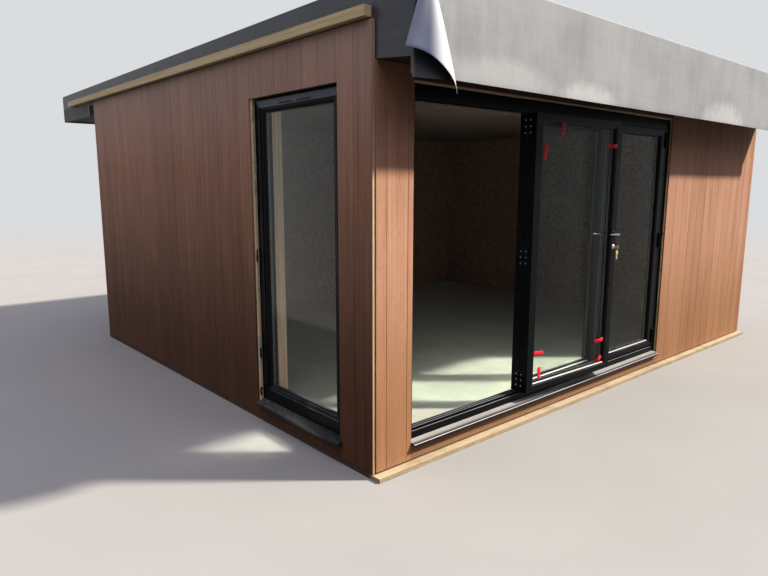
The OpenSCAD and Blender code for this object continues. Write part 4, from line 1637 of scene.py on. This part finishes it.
        # The outer lever takes the darker steel, a painted dark reflection.
        shape.piece("door_lever_and_rose", [STEEL_DIMMED_REFLECTION, COAT], ["door_handle"])
        shape = Shape(self.lead_place())
        run = [(0.0, 0.0, 0.0090), (0.0, 0.008, 0.0085), (0.001, 0.012, 0.0080),
               (0.006, 0.015, 0.0070), (0.016, 0.016, 0.0060), (0.060, 0.016, 0.0056),
               (0.125, 0.015, 0.0052), (0.137, 0.015, 0.0040), (0.142, 0.015, 0.0)]
        self.lever(shape, face + self.leaf_t, 1, run, 16)
        shape.piece("door_lever_between_leaves", [STEEL])

    def lock(self) -> None:
        """Builds the lock's collar and barrel, with a key in it and two more on its ring."""
        shape = Shape(self.lead_place())
        s, face, z = self.spindle, self.lead_face(), self.lock_z
        collar = [(0.0, 0.017), (0.004, 0.017), (0.007, 0.0145), (0.0075, 0.0)]
        shape.turned(collar, (s, face, z), OUTWARDS, 28)
        barrel = [(0.006, 0.008), (self.barrel_out - 0.0005, 0.008), (self.barrel_out, 0.0072),
                  (self.barrel_out, 0.0)]
        shape.turned(barrel, (s, face, z), OUTWARDS, 24, 1)
        self.key(shape, (s, face - self.barrel_out, z))
        hung, out = s + 0.002, face - self.ring_out
        loop = [(hung, out + 0.009 * sine, z - self.ring_drop + 0.011 * cosine)
                for cosine, sine in circle(24)]
        loop.append(loop[0])
        shape.tube(loop, [0.0009] * len(loop), 8)
        for swing, drop in ((0.10, 0.024), (-0.16, 0.025)):
            self.hanging_key(shape, (hung, out, z - drop), swing)
        shape.piece("door_lock_and_keys", [STEEL, BRASS], ["door_lock"])

    def key(self, shape: Shape, at: Point) -> None:
        """Adds the key that stands in the lock.

        Args:
            shape: The shape that it goes into.
            at: The middle of the barrel's end.
        """
        s, t, z = at
        half, blade, bow = self.key_t / 2, 0.012, 0.0125
        shape.block((s - half, t - blade, z - 0.0035), (s + half, t, z + 0.0035), 0.0005, 1)
        outline = [(t - blade - 0.011 + bow * c, z + bow * sine) for c, sine in circle(20)]
        shape.plate(outline, s - half, s + half, Axis.X, 0.0004, finish=1)

    def hanging_key(self, shape: Shape, at: Point, swing: float) -> None:
        """Adds a key that hangs from the ring, turned a little from upright.

        Args:
            shape: The shape that it goes into.
            at: Where it hangs.
            swing: Its turn, in radians.
        """
        s, t, z = at
        cosine, sine = math.cos(swing), math.sin(swing)
        outline = [(-0.005, 0.0), (-0.0135, -0.007), (-0.015, -0.019), (-0.008, -0.029),
                   (-0.0042, -0.031), (-0.0042, -0.060), (0.0, -0.065), (0.0042, -0.060),
                   (0.0042, -0.053), (0.0027, -0.050), (0.0042, -0.046), (0.0042, -0.031),
                   (0.008, -0.029), (0.015, -0.019), (0.0135, -0.007), (0.005, 0.0)]
        turned = [(s + a * cosine - b * sine, z + a * sine + b * cosine) for a, b in outline]
        off, half = t + swing * 0.012, 0.0011
        shape.plate(turned, off - half, off + half, chamfer=0.0003, finish=1)

    def screws(self) -> None:
        """Builds the bright screws in the hinge plates at the fold."""
        middle = self.leaf_low + (self.leaf_high - self.leaf_low) / 2
        shape = Shape(self.plan.matrix())
        x, y = self.hinge
        head = [(0.0, 0.0046), (0.0009, 0.0044), (0.0016, 0.0034), (0.0017, 0.0018), (0.0009, 0.0)]
        turn = Matrix.Rotation(-self.lean, 3, "Z")
        base = turn @ Vector((-self.plate_out, -self.screw_depth, 0.0))
        for z in (self.leaf_low + self.screw_end, middle, self.leaf_high - self.screw_end):
            for k in (-1, 0, 1):
                up = z + k * self.screw_pitch
                still = (x + self.side_gap - self.plate_out, y + self.screw_depth, up)
                shape.turned(head, still, (-1.0, 0.0, 0.0), 14)
                shape.turned(
                    head, (x + base.x, y + base.y, up), tuple(turn @ Vector((-1.0, 0.0, 0.0))), 14)
        shape.piece("hinge_screws", [ZINC])

    def tape(self, leaf: GlazedFrame) -> None:
        """Builds the strips of red tape on the lead leaf's pane.

        Args:
            leaf: The lead leaf.
        """
        near, bar = leaf.glass_span()[0] - 0.0004, leaf.face - 0.0006
        strips = (((0.283, 1.846), (0.268, 1.932), 1), ((0.110, 1.692), (0.135, 1.790), 0),
                  ((0.824, 1.803), (0.904, 1.805), 1), ((0.090, 0.449), (0.186, 0.441), 0),
                  ((0.150, 0.270), (0.151, 0.349), 0), ((0.793, 0.416), (0.872, 0.431), 1),
                  ((0.806, 0.258), (0.858, 0.306), 1))
        shape = Shape(self.lead_place())
        for a, b, on_bar in strips:
            start, end = Vector(a), Vector(b)
            ahead = (end - start).normalized()
            aside = Vector((-ahead.y, ahead.x)) * (self.tape_w / 2 + 0.003 * abs(ahead.y))
            rows = []
            for k in range(13):
                middle = start.lerp(end, k / 12)
                row = []
                for lift in (-1, -0.4, 0.4, 1):
                    spot = middle + aside * lift
                    if k in (0, 12):
                        spot += ahead * 0.0015 * wave(40 * spot.x, 40 * spot.y, lift)
                    depth = near + (bar - near) * on_bar * min(1.0, k / 6)
                    puckered = 0.0004 * abs(wave(30 * spot.x, 30 * spot.y, 0.0))
                    row.append((spot.x, depth - puckered, spot.y))
                rows.append(row)
            shape.sheet(rows)
        made = shape.piece("red_tape_strips", [TAPE], closed=False)
        thicken(made, self.tape_t)


@dataclass
class SideWindow:
    """The tall fixed window in the left wall, with the stuff in the gaps round it."""

    plan: Plan
    y: Pair = (0.287, 1.157)
    z: Pair = (0.140, 2.046)
    face: float = 0.030
    back: float = 0.100
    glass_in: float = 0.020
    unit_t: float = 0.024
    pane_t: float = 0.004
    seal_t: float = 0.003
    slot_size: Pair = (0.138, 0.0085)
    slot_gap: float = 0.050
    slot_drop: float = 0.039
    torn_z: Pair = (1.45, 1.95)

    def build(self) -> None:
        """Builds the window."""
        dress(COAT_LEDGE, 0.8, "window_sill")
        self.bars()
        self.seals()
        self.pane()
        self.gap_stuff()
        self.lining()

    def bars(self) -> None:
        """Builds the stepped frame."""
        shape = Shape(Side.LEFT.matrix(self.plan))
        f, edge = self.face, 0.0015
        loops = [
            (0.0, 0.0, 0.0, f + edge), (edge, edge, edge, f), (0.0495, 0.0490, 0.0765, f),
            (0.051, 0.0505, 0.078, f + edge), (0.051, 0.0505, 0.078, f + 0.005),
            (0.055, 0.053, 0.0805, f + 0.006), (0.072, 0.0645, 0.094, f + 0.010),
            (0.074, 0.067, 0.099, f + 0.013), (0.080, 0.070, 0.100, f + 0.0185),
            (0.080, 0.070, 0.100, f + 0.046), (0.072, 0.066, 0.090, f + 0.056),
            (0.051, 0.052, 0.078, f + 0.060), (0.050, 0.050, 0.076, self.back),
            (edge, edge, edge, self.back), (0.0, 0.0, 0.0, self.back - edge)]
        shape.ring((self.y[0], self.z[0]), (self.y[1], self.z[1]), loops)
        # The head's vent cover takes the greyer coat, with a painted sky reflection.
        shape.paint(1, lambda at, _: at.y < f + 0.0010 and at.z > self.z[1] - 0.0505)
        shape.piece("window_frame_bars", [COAT, COAT_VENT_PAINTED_REFLECTION], ["window_frame"], 20.0)

    def seals(self) -> None:
        """Builds the rubber round the pane, its spacer, and black strips in the two slots over it as
        painted shade.
        """
        shape = Shape(Side.LEFT.matrix(self.plan))
        low, high = (self.y[0], self.z[0]), (self.y[1], self.z[1])
        near = self.face + self.glass_in
        far = near + self.unit_t
        for a, b in ((near - self.seal_t, near), (far, far + self.seal_t)):
            shape.ring(low, high, [(0.078, 0.068, 0.098, a), (0.088, 0.075, 0.106, a),
                                   (0.090, 0.077, 0.108, b), (0.078, 0.068, 0.098, b)])
        a, b = near + self.pane_t, far - self.pane_t
        shape.ring(low, high, [(0.078, 0.068, 0.098, a), (0.093, 0.081, 0.112, a),
                               (0.093, 0.081, 0.112, b), (0.078, 0.068, 0.098, b)], 1)
        z, middle = self.z[1] - self.slot_drop, (self.y[0] + self.y[1]) / 2
        half, rise = self.slot_size[0] / 2, self.slot_size[1] / 2
        # Black strips in the vent slots: painted shade, for the dark inside of the slots.
        for way in (-1, 1):
            start = middle + way * (self.slot_gap / 2 + half)
            shape.block((start - half, self.face - 2 * HAIR, z - rise),
                        (start + half, self.face + 0.002, z + rise))
        shape.piece("window_seals_and_vents", [RUBBER, SPACER])

    def pane(self) -> None:
        """Builds the two sheets of the sealed pane."""
        shape = Shape(Side.LEFT.matrix(self.plan))
        near = self.face + self.glass_in
        side, head, foot = 0.079, 0.069, 0.099
        for a in (near, near + self.unit_t - self.pane_t):
            shape.block((self.y[0] + side, a, self.z[0] + foot),
                        (self.y[1] - side, a + self.pane_t, self.z[1] - head), 0.0005)
        shape.piece("window_pane", [GLASS_VEILED], ["window_glass"])

    def gap_stuff(self) -> None:
        """Builds the torn wadding and foam that stick out of the gaps round the frame."""
        shape = Shape(Side.LEFT.matrix(self.plan))
        draw = random.Random(41)
        _, wall, foot, head = WINDOW_HOLE
        end = self.y[1]
        # The stud takes the near-white pine, painted light for the shaded gap.
        shape.block((end + 0.008, 0.012, foot), (wall - 0.001, self.back, head), 0.001)
        shape.block((end + HAIR, 0.030, foot), (end + 0.008 - HAIR, self.back, head), finish=2)
        shape.block((self.y[0], 0.028, self.z[1] + HAIR), (end, self.back, head - HAIR), finish=2)
        z = self.z[0] + 0.02
        while z < self.z[1] - 0.06:
            length = draw.uniform(0.03, 0.11)
            torn = self.torn_z[0] < z < self.torn_z[1]
            if torn or draw.random() < 0.6:
                spot = (end + 0.004, draw.uniform(0.012, 0.019), z)
                size = draw.uniform(0.0055, 0.0085)
                self.lump(shape, spot, Axis.Z, length, size,
                          1 if torn or draw.random() < 0.5 else 2, draw)
            z += length * draw.uniform(0.8, 1.6)
        y = self.y[0] + 0.01
        while y < end - 0.05:
            length = draw.uniform(0.04, 0.12)
            self.lump(shape, (y, 0.025, self.z[1] - 0.0005), Axis.X, length, 0.0085, 2, draw)
            y += length * 0.8
        shape.piece("window_stud_and_foam", [PINE_STUD_BRIGHTENED_FOR_SHADE, WOOL, FOAM], ["window_packers"])

    def lump(self, shape: Shape, at: Point, way: Axis, length: float, size: float, finish: int,
             draw: random.Random) -> None:
        """Adds a ragged lump.

        Args:
            shape: The shape that it goes into.
            at: Where it starts.
            way: Z for one that stands, X for one that lies along the wall.
            length: Its length.
            size: Its largest radius.
            finish: Number of the finish.
            draw: Where its random numbers come from.
        """
        path, radii = [], []
        for k in range(9):
            reach = length * k / 8
            if way is Axis.Z:
                step = (draw.uniform(-0.002, 0.002), draw.uniform(-0.003, 0.001), reach)
            else:
                step = (reach, draw.uniform(-0.003, 0.001), draw.uniform(-0.001, 0.001))
            path.append(tuple(a + b for a, b in zip(at, step)))
            radii.append(size * (0.2 if k in (0, 8) else draw.uniform(0.6, 1.0)))
        shape.tube(path, radii, 10, 0.7 if way is Axis.Z else 0.8, finish)

    def lining(self) -> None:
        """Builds the board lining of the reveal and the bare studs round it in the room."""
        shape = Shape(Side.LEFT.matrix(self.plan))
        start, end, foot, head = WINDOW_HOLE
        for outer, inner, near, far, finish in (
                ((0.0005, 0.0005, 0.0005), (0.018, 0.018, 0.018), 0.1005, 0.1555, 1),
                ((-0.030, -0.030, 0.0055), (0.016, 0.016, 0.050), 0.1565, 0.2265, 0)):
            shape.ring((start, foot), (end, head), [
                (*outer, near), (*inner, near), (*inner, far), (*outer, far)], finish)
        shape.piece("window_reveal_studs", [PINE_FRESH, STRAND_PAINTED_SHADE])


@dataclass
class Roof:
    """Roof boards, battens and the rubber membrane."""

    plan: Plan
    hem_x: float = 0.016
    front: float = -0.260
    apron_low: float = 2.030
    kerb_top: float = 2.522
    kerb_back: float = -0.206
    kerb_toe: float = -0.176
    roof_front: float = 2.492
    roof_rear: float = 2.460
    rear: float = 5.220
    rear_low: float = 2.190
    side_top: float = 2.310
    ceiling: float = 2.130
    rubber_t: float = 0.0024
    fold: float = 0.012
    edge_w: float = 0.008
    corner_sag: float = 0.015
    sag_reach: float = 0.28
    hem_drop: float = 0.024
    notch: float = 0.165
    hem_share: float = 0.31
    nail_out: float = 0.031
    nail_z: float = 2.347
    nail_start: float = 0.12
    nail_pitch: float = 0.42
    flap_apex: Point = (0.099, -0.262, 2.520)
    flap_tip: Point = (-0.075, -0.300, 2.127)
    flap_belly: float = 0.010
    flap_flat: Pair = (0.48, 0.56)

    def build(self) -> None:
        """Builds the roof's boards, battens and membrane."""
        dress(STRAND, 1.0, "roof_panel")
        # The rear canopy takes the near-black board, painted shade.
        dress(STRAND_PAINTED_SHADE, 1.0, "rear_canopy")
        dress(SLATE, 1.0, "front_fascia")
        dress(PINE_ACROSS, 1.0, "rear_fascia")
        # Painted light: the shaded left batten takes the lighter pine, the sunlit right one the darker.
        dress(PINE_BATTEN_BRIGHTENED_FOR_SHADE, 1.5, "left_roof_batten")
        dress(PINE_BATTEN_DARKENED_FOR_SUN, 1.5, "right_roof_batten")
        self.nails()
        self.top_sheet()
        self.hems()
        self.flap()

    def surface(self, y: float) -> float:
        """Returns the roof surface's height at a depth."""
        share = (y - self.front) / (self.rear - self.front)
        return self.roof_front + (self.roof_rear - self.roof_front) * share

    def nails(self) -> None:
        """Builds the nail heads along the battens."""
        shape = Shape(self.plan.matrix())
        head = [(0.0, 0.004), (0.0006, 0.0039), (0.001, 0.0)]
        for side, way in ((-self.nail_out, -1.0), (self.plan.width + self.nail_out, 1.0)):
            for k in range(12):
                y = self.nail_start + self.nail_pitch * k
                z = self.nail_z + 0.010 * (-1) ** k
                shape.turned(head, (side, y, z), (way, 0.0, 0.0), 12)
        shape.piece("batten_nails", [ZINC])

    def section(self) -> list[Pair]:
        """Draws the top sheet's section: the apron, the kerb, the roof and the rear edge.

        Returns:
            Its points in Y and Z, from the apron's edge.
        """
        fold, quarter = self.fold, circle(16)[1:5]
        rise = self.kerb_top - fold - self.apron_low
        path = [(self.front, self.apron_low + rise * k / 15) for k in range(16)]
        path += [(self.front + fold * (1 - c), self.kerb_top - fold * (1 - s)) for c, s in quarter]
        path += [(self.kerb_back - 0.008, self.kerb_top),
                 (self.kerb_back + 0.004, self.kerb_top - 0.003),
                 (self.kerb_toe - 0.004, self.surface(self.kerb_toe) + 0.004)]
        start, edge = self.kerb_toe + 0.008, self.surface(self.rear)
        run = self.rear - fold - start
        lying = [start + run * k / 53 for k in range(54)]
        path += [(y, self.surface(y)) for y in lying]
        path += [(self.rear - fold * (1 - s), edge - fold * (1 - c)) for c, s in quarter]
        drop = edge - fold - self.rear_low
        path += [(self.rear, edge - fold - drop * k / 8) for k in range(1, 9)]
        return path

    def columns(self) -> list[float]:
        """Spaces the top sheet's columns of points, which are closer at the left corner.

        Returns:
            Their places along the front.
        """
        left, right, count = self.hem_x, self.plan.width - self.hem_x, 110
        spots = [left, left + 0.002, left + 0.006]
        spots += [left + 0.012 * k for k in range(1, 24)]
        spots += [left + 0.300 + (right - left - 0.312) * k / count for k in range(count + 1)]
        return spots + [right - 0.006, right - 0.002, right]

    def lain(self, x: float, y: float, z: float) -> Point:
        """Moves a point of the top sheet as loose rubber lies and hangs.

        Args:
            x: Its place along the front.
            y: Its depth in the section.
            z: Its height in the section.

        Returns:
            The point as it lies.
        """
        left, right = self.hem_x, self.plan.width - self.hem_x
        edge = max(0.0, self.edge_w - min(x - left, right - x))
        sink = edge * edge / self.edge_w
        if y < self.front + 0.002:
            hang = (self.kerb_top - z) / (self.kerb_top - self.apron_low)
            out = 0.0045 * hang * wave(1.1 * x, 3.0, 1.2 * z) \
                + 0.0016 * hang * wave(5.0 * x, 1.0, 2.0 * z)
            sag = self.corner_sag * max(0.0, 1 - (x - left) / self.sag_reach)
            drop = 0.0035 * hang * wave(0.8 * x, 8.0, 0.0) - sag * hang
            return x, y + out + 0.6 * sink, z + drop
        if y > self.rear - 0.002:
            return x, y - 0.6 * sink, z
        lift = 0.0
        if y >= self.kerb_toe:
            lift = 0.0012 * wave(1.5 * x, 1.5 * y, 4.0) + 0.0008 * wave(0.3 * x, 7.0 * y, 9.0)
        return x, y, z - sink + lift - self.rubber_t / 2

    def top_sheet(self) -> None:
        """Builds the sheet that hangs in front, runs over the kerb and lies on the roof."""
        section, spots = self.section(), self.columns()
        left, right = spots[0], spots[-1]
        shape = Shape(self.plan.matrix())
        shape.sheet([[self.lain(x, y, z) for x in spots] for y, z in section])
        for face in shape.mesh.faces:
            spot = face.calc_center_median()
            lifted = 0.095 + (self.kerb_top - spot.z) * 0.345
            # Under the flap the apron is bare rubber; its corner strip takes the pale copy, a painted
            # highlight.
            if spot.y < self.front + self.fold and spot.x < lifted:
                face.material_index = 2 if spot.x < left + 0.006 else 1
            elif self.kerb_toe < spot.y < self.rear - 0.002:
                face.material_index = 3
        made = shape.piece("roof_sheet", [DUSTY_AND_SHEEN, SLATE, CORNER_PAINTED_HIGHLIGHT, WALKED],
                           ["roof_membrane", "membrane_skirts"], 60.0, closed=False)
        self.rubber(made, -1.0)

    def rubber(self, made: bpy.types.Object, offset: float, inner: int = 0) -> None:
        """Gives an open surface the rubber's thickness and even shading."""
        thicken(made, self.rubber_t, offset, inner)
        made.modifiers.new("flat_face_shading", "WEIGHTED_NORMAL")

    def hem_low(self, y: float) -> float:
        """Gives the height of the side hem's lower edge.

        Args:
            y: The depth.

        Returns:
            The height there.
        """
        if y < 0:
            return self.ceiling - self.hem_drop * min(1.0, y / self.front)
        if y < self.plan.depth:
            return self.ceiling + 0.012
        if y < self.plan.depth + self.notch:
            return self.side_top - 0.020
        return self.rear_low

    def hem_point(self, x: float, way: int, y: float, share: float) -> Point:
        """Gives one point of a side hem.

        Args:
            x: Where the roof's side is.
            way: -1 on the left, 1 on the right.
            y: The depth.
            share: 0 at the hem's top, 1 at its lower edge.

        Returns:
            The point, swollen outwards where nothing holds the rubber.
        """
        top = (self.kerb_top if y < self.kerb_back else self.surface(y)) - 0.004
        z = top + (self.hem_low(y) - top) * share
        swell = 0.0
        if y < -0.01 or y > self.plan.depth + 0.01 or z > 2.38:
            swell = 0.0018 * (1 + wave(2.0 * y, 5.0 * z, 2.0)) * min(1.0, share * 4)
        return x + way * swell, y, z

    def hems(self) -> None:
        """Builds the two side hems, which hang down each end of the roof."""
        depth, step = self.plan.depth, 0.0005
        cut = depth + self.notch
        stations = [self.front + 0.003, -0.20, -0.14, -0.08, -0.03, -step, step]
        stations += [depth * k / 40 for k in range(1, 40)]
        stations += [depth - step, depth + step, depth + 0.08, cut - step, cut + step]
        stations += [cut + (self.rear - 0.004 - cut) * k / 10 for k in range(1, 11)]
        for name, x, way in (("left_hem_sheet", self.hem_x + 0.002, -1),
                             ("right_hem_sheet", self.plan.width - self.hem_x - 0.002, 1)):
            rows = [[self.hem_point(x, way, y, k / 10) for y in stations] for k in range(11)]
            shape = Shape(self.plan.matrix())
            shape.sheet(rows)
            # The rear part below the battens takes the near-black rubber, painted shade.
            shape.paint(1, lambda at, _: at.y > depth and at.z < self.side_top + 0.02)
            made = shape.piece(name, [SLATE, HEM_PAINTED_SHADE], (), 60.0, closed=False)
            self.rubber(made, 0.0)

    def flap(self) -> None:
        """Builds the loose corner of the apron, which curls out from the roof's corner."""
        apex = Vector(self.flap_apex)
        rim = self.curve([(0.300, -0.264, 1.970), (0.240, -0.320, 2.030), (0.050, -0.360, 2.130),
                          self.flap_tip], 18)
        turned = len(rim) - 1
        rim += self.curve([self.flap_tip, (-0.086, -0.306, 2.122), (-0.038, -0.262, 2.140),
                           (0.004, -0.254, 2.160)], 8)[1:]
        rows = []
        for k in range(25):
            share = (k / 24) ** 0.8
            row = []
            for n, point in enumerate(rim):
                spot = apex.lerp(Vector(point), share)
                belly = math.sin(math.pi * share) * math.sin(math.pi * min(1.0, n / 17))
                spot.y -= self.flap_belly * belly
                spot.x += self.flap_belly * math.sin(math.pi * share ** 2) * max(0.0, 1 - n / 6)
                spot.y += 0.003 * share * wave(6 * spot.x, 6 * spot.z, 2.0)
                row.append(tuple(spot))
            rows.append(row)
        shape = Shape(self.plan.matrix())
        shape.sheet(rows)
        # The turned-under faces take the near-black rubber, painted shade.
        for number, face in enumerate(shape.mesh.faces):
            if number % (len(rim) - 1) >= turned:
                face.material_index = 1
        made = shape.piece("corner_flap_sheet", [CURL_PAINTED_HIGHLIGHT, CURL_SHADED, SLATE],
                           ["membrane_corner_flap"], 60.0, closed=False)
        self.rubber(made, -1.0, 2)

    def curve(self, points: Sequence[Point], steps: int) -> list[Point]:
        """Returns points along a cubic curve.

        Args:
            points: Its four control points.
            steps: Number of stretches.

        Returns:
            The points, both ends among them.
        """
        a, b, c, d = (Vector(p) for p in points)
        found = []
        for k in range(steps + 1):
            u = k / steps
            spot = a * (1 - u) ** 3 + b * 3 * u * (1 - u) ** 2 + c * 3 * u * u * (1 - u) + d * u ** 3
            found.append(tuple(spot))
        return found


# Studio

@dataclass(frozen=True)
class StudioFloor(Finish):
    """Painted studio floor, rolled flat.

    Pale, dull, and lost in the background far away. It gives the walls back only as much light as
    bare soil would, so that the shade under the eaves and low on the walls stays deep.
    """

    name: str = "studio_floor_painted"
    paint: str = "#919291"
    faint: str = "#959695"
    cloud_mm: float = 900.0
    turf: str = "#2e2b28"
    near: float = 7.0
    far: float = 22.0

    def shade(self, tree: Tree) -> Node:
        """Adds paint near the object and the backdrop's own colour far from it.

        Args:
            tree: The material's tree.

        Returns:
            The shader.
        """
        clouds = patches(tree, self.cloud_mm, 3.0, 0.5)
        tint = add(tree, "ValToRGB", {"Fac": clouds}, stops=[(0.3, self.paint), (0.7, self.faint)])
        light = add(tree, "LightPath").outputs["Is Diffuse Ray"]
        given = add(tree, "Mix", {0: light, MIX_UNDER: tint, MIX_OVER: self.turf})
        paint = add(tree, "BsdfPrincipled", {
            "Base Color": given, "Roughness": 0.8, "Specular IOR Level": 0.0})
        flat = add(tree, "Emission", {"Color": BACKDROP, "Strength": 1.0})
        place = add(tree, "TexCoord").outputs["Object"]
        reach = add(tree, "VectorMath", {0: place}, operation="LENGTH").outputs["Value"]
        fade = add(tree, "MapRange", {"Value": reach, "From Min": self.near, "From Max": self.far},
                   interpolation_type="SMOOTHSTEP")
        share = add(tree, "Math", {0: fade, 1: seen_directly(tree)}, operation="MULTIPLY")
        return add(tree, "MixShader", {0: share, 1: paint, 2: flat})


@dataclass
class Studio:
    """Floor, background, lamps and camera."""

    lens: float = 29.27
    sensor: float = 36.0
    yaw: float = 41.28
    pitch: float = 9.57
    roll: float = 0.11
    eye: Point = (-4.49343, -4.42749, 1.55072)
    reach: float = 70.0
    floor_z: float = -0.0005
    sky: str = "#eee8f7"
    sky_low: float = 0.03
    sky_high: float = 1.95
    sky_edge: float = 0.30
    lamp: str = "#fff3e2"
    lamp_strength: float = 7.2
    lamp_spread: float = 3.5
    lamp_turn: float = 50.0
    lamp_height: float = 46.8
    lamp_far: float = 12.0

    def build(self) -> None:
        """Builds the studio."""
        bpy.context.scene.view_settings.view_transform = "Standard"
        self.floor()
        self.background()
        self.key_lamp()
        self.camera()

    def floor(self) -> None:
        """Builds the round floor."""
        data = bpy.data.meshes.new("studio_floor")
        mesh = bmesh.new()
        bmesh.ops.create_circle(mesh, cap_ends=True, radius=self.reach, segments=96)
        mesh.to_mesh(data)
        mesh.free()
        made = stand("studio_floor", data)
        made.location.z = self.floor_z
        data.materials.append(StudioFloor().material())

    def background(self) -> None:
        """Sets a soft light that is strongest overhead, and a plain pale backdrop for the eye."""
        world = bpy.data.worlds.new("studio_world")
        bpy.context.scene.world = world
        world.use_nodes = True
        tree = world.node_tree
        tree.nodes.clear()
        up = add(tree, "SeparateXYZ", {0: add(tree, "TexCoord").outputs["Generated"]}).outputs[2]
        strength = add(tree, "MapRange", {
            "Value": up, "From Min": self.sky_edge, "To Min": self.sky_low, "To Max": self.sky_high})
        light = add(tree, "Background", {"Color": self.sky, "Strength": strength})
        plain = add(tree, "Background", {"Color": BACKDROP, "Strength": 1.0})
        mixed = add(tree, "MixShader", {0: seen_directly(tree), 1: light, 2: plain})
        add(tree, "OutputWorld", {"Surface": mixed})

    def key_lamp(self) -> None:
        """Hangs the one large lamp far off, in front and to the right."""
        data = bpy.data.lights.new("key_lamp", "SUN")
        data.energy = self.lamp_strength
        data.angle = math.radians(self.lamp_spread)
        data.color = linear(self.lamp)[:3]
        made = stand("key_lamp", data)
        turn, height = math.radians(self.lamp_turn), math.radians(self.lamp_height)
        towards = Vector((math.sin(turn) * math.cos(height), -math.cos(turn) * math.cos(height),
                          math.sin(height)))
        made.location = towards * self.lamp_far
        made.rotation_euler = (-towards).to_track_quat("-Z", "Y").to_euler()

    def camera(self) -> None:
        """Sets the camera where the photograph was taken from."""
        yaw, pitch, roll = (math.radians(a) for a in (self.yaw, self.pitch, self.roll))
        ahead = Vector((
            math.sin(yaw) * math.cos(pitch), math.cos(yaw) * math.cos(pitch), -math.sin(pitch)))
        level = Vector((math.cos(yaw), -math.sin(yaw), 0.0))
        upright = level.cross(ahead)
        right = level * math.cos(roll) + upright * math.sin(roll)
        up = upright * math.cos(roll) - level * math.sin(roll)
        data = bpy.data.cameras.new("camera")
        data.lens = self.lens
        data.sensor_width = self.sensor
        data.sensor_fit = "HORIZONTAL"
        data.clip_end = 300.0
        made = stand("camera", data)
        turned = Matrix((right, up, -ahead)).transposed().to_4x4()
        made.matrix_world = Matrix.Translation(self.eye) @ turned
        bpy.context.scene.camera = made


def main() -> None:
    """Builds the studio and the pod, and reports each piece."""
    logging.basicConfig(level=logging.INFO, format="%(message)s")
    plan = Plan.of_frame()
    Studio().build()
    for part in (Room, Cladding, FoldingDoor, SideWindow, Roof):
        part(plan).build()


if __name__ == "__main__":
    main()
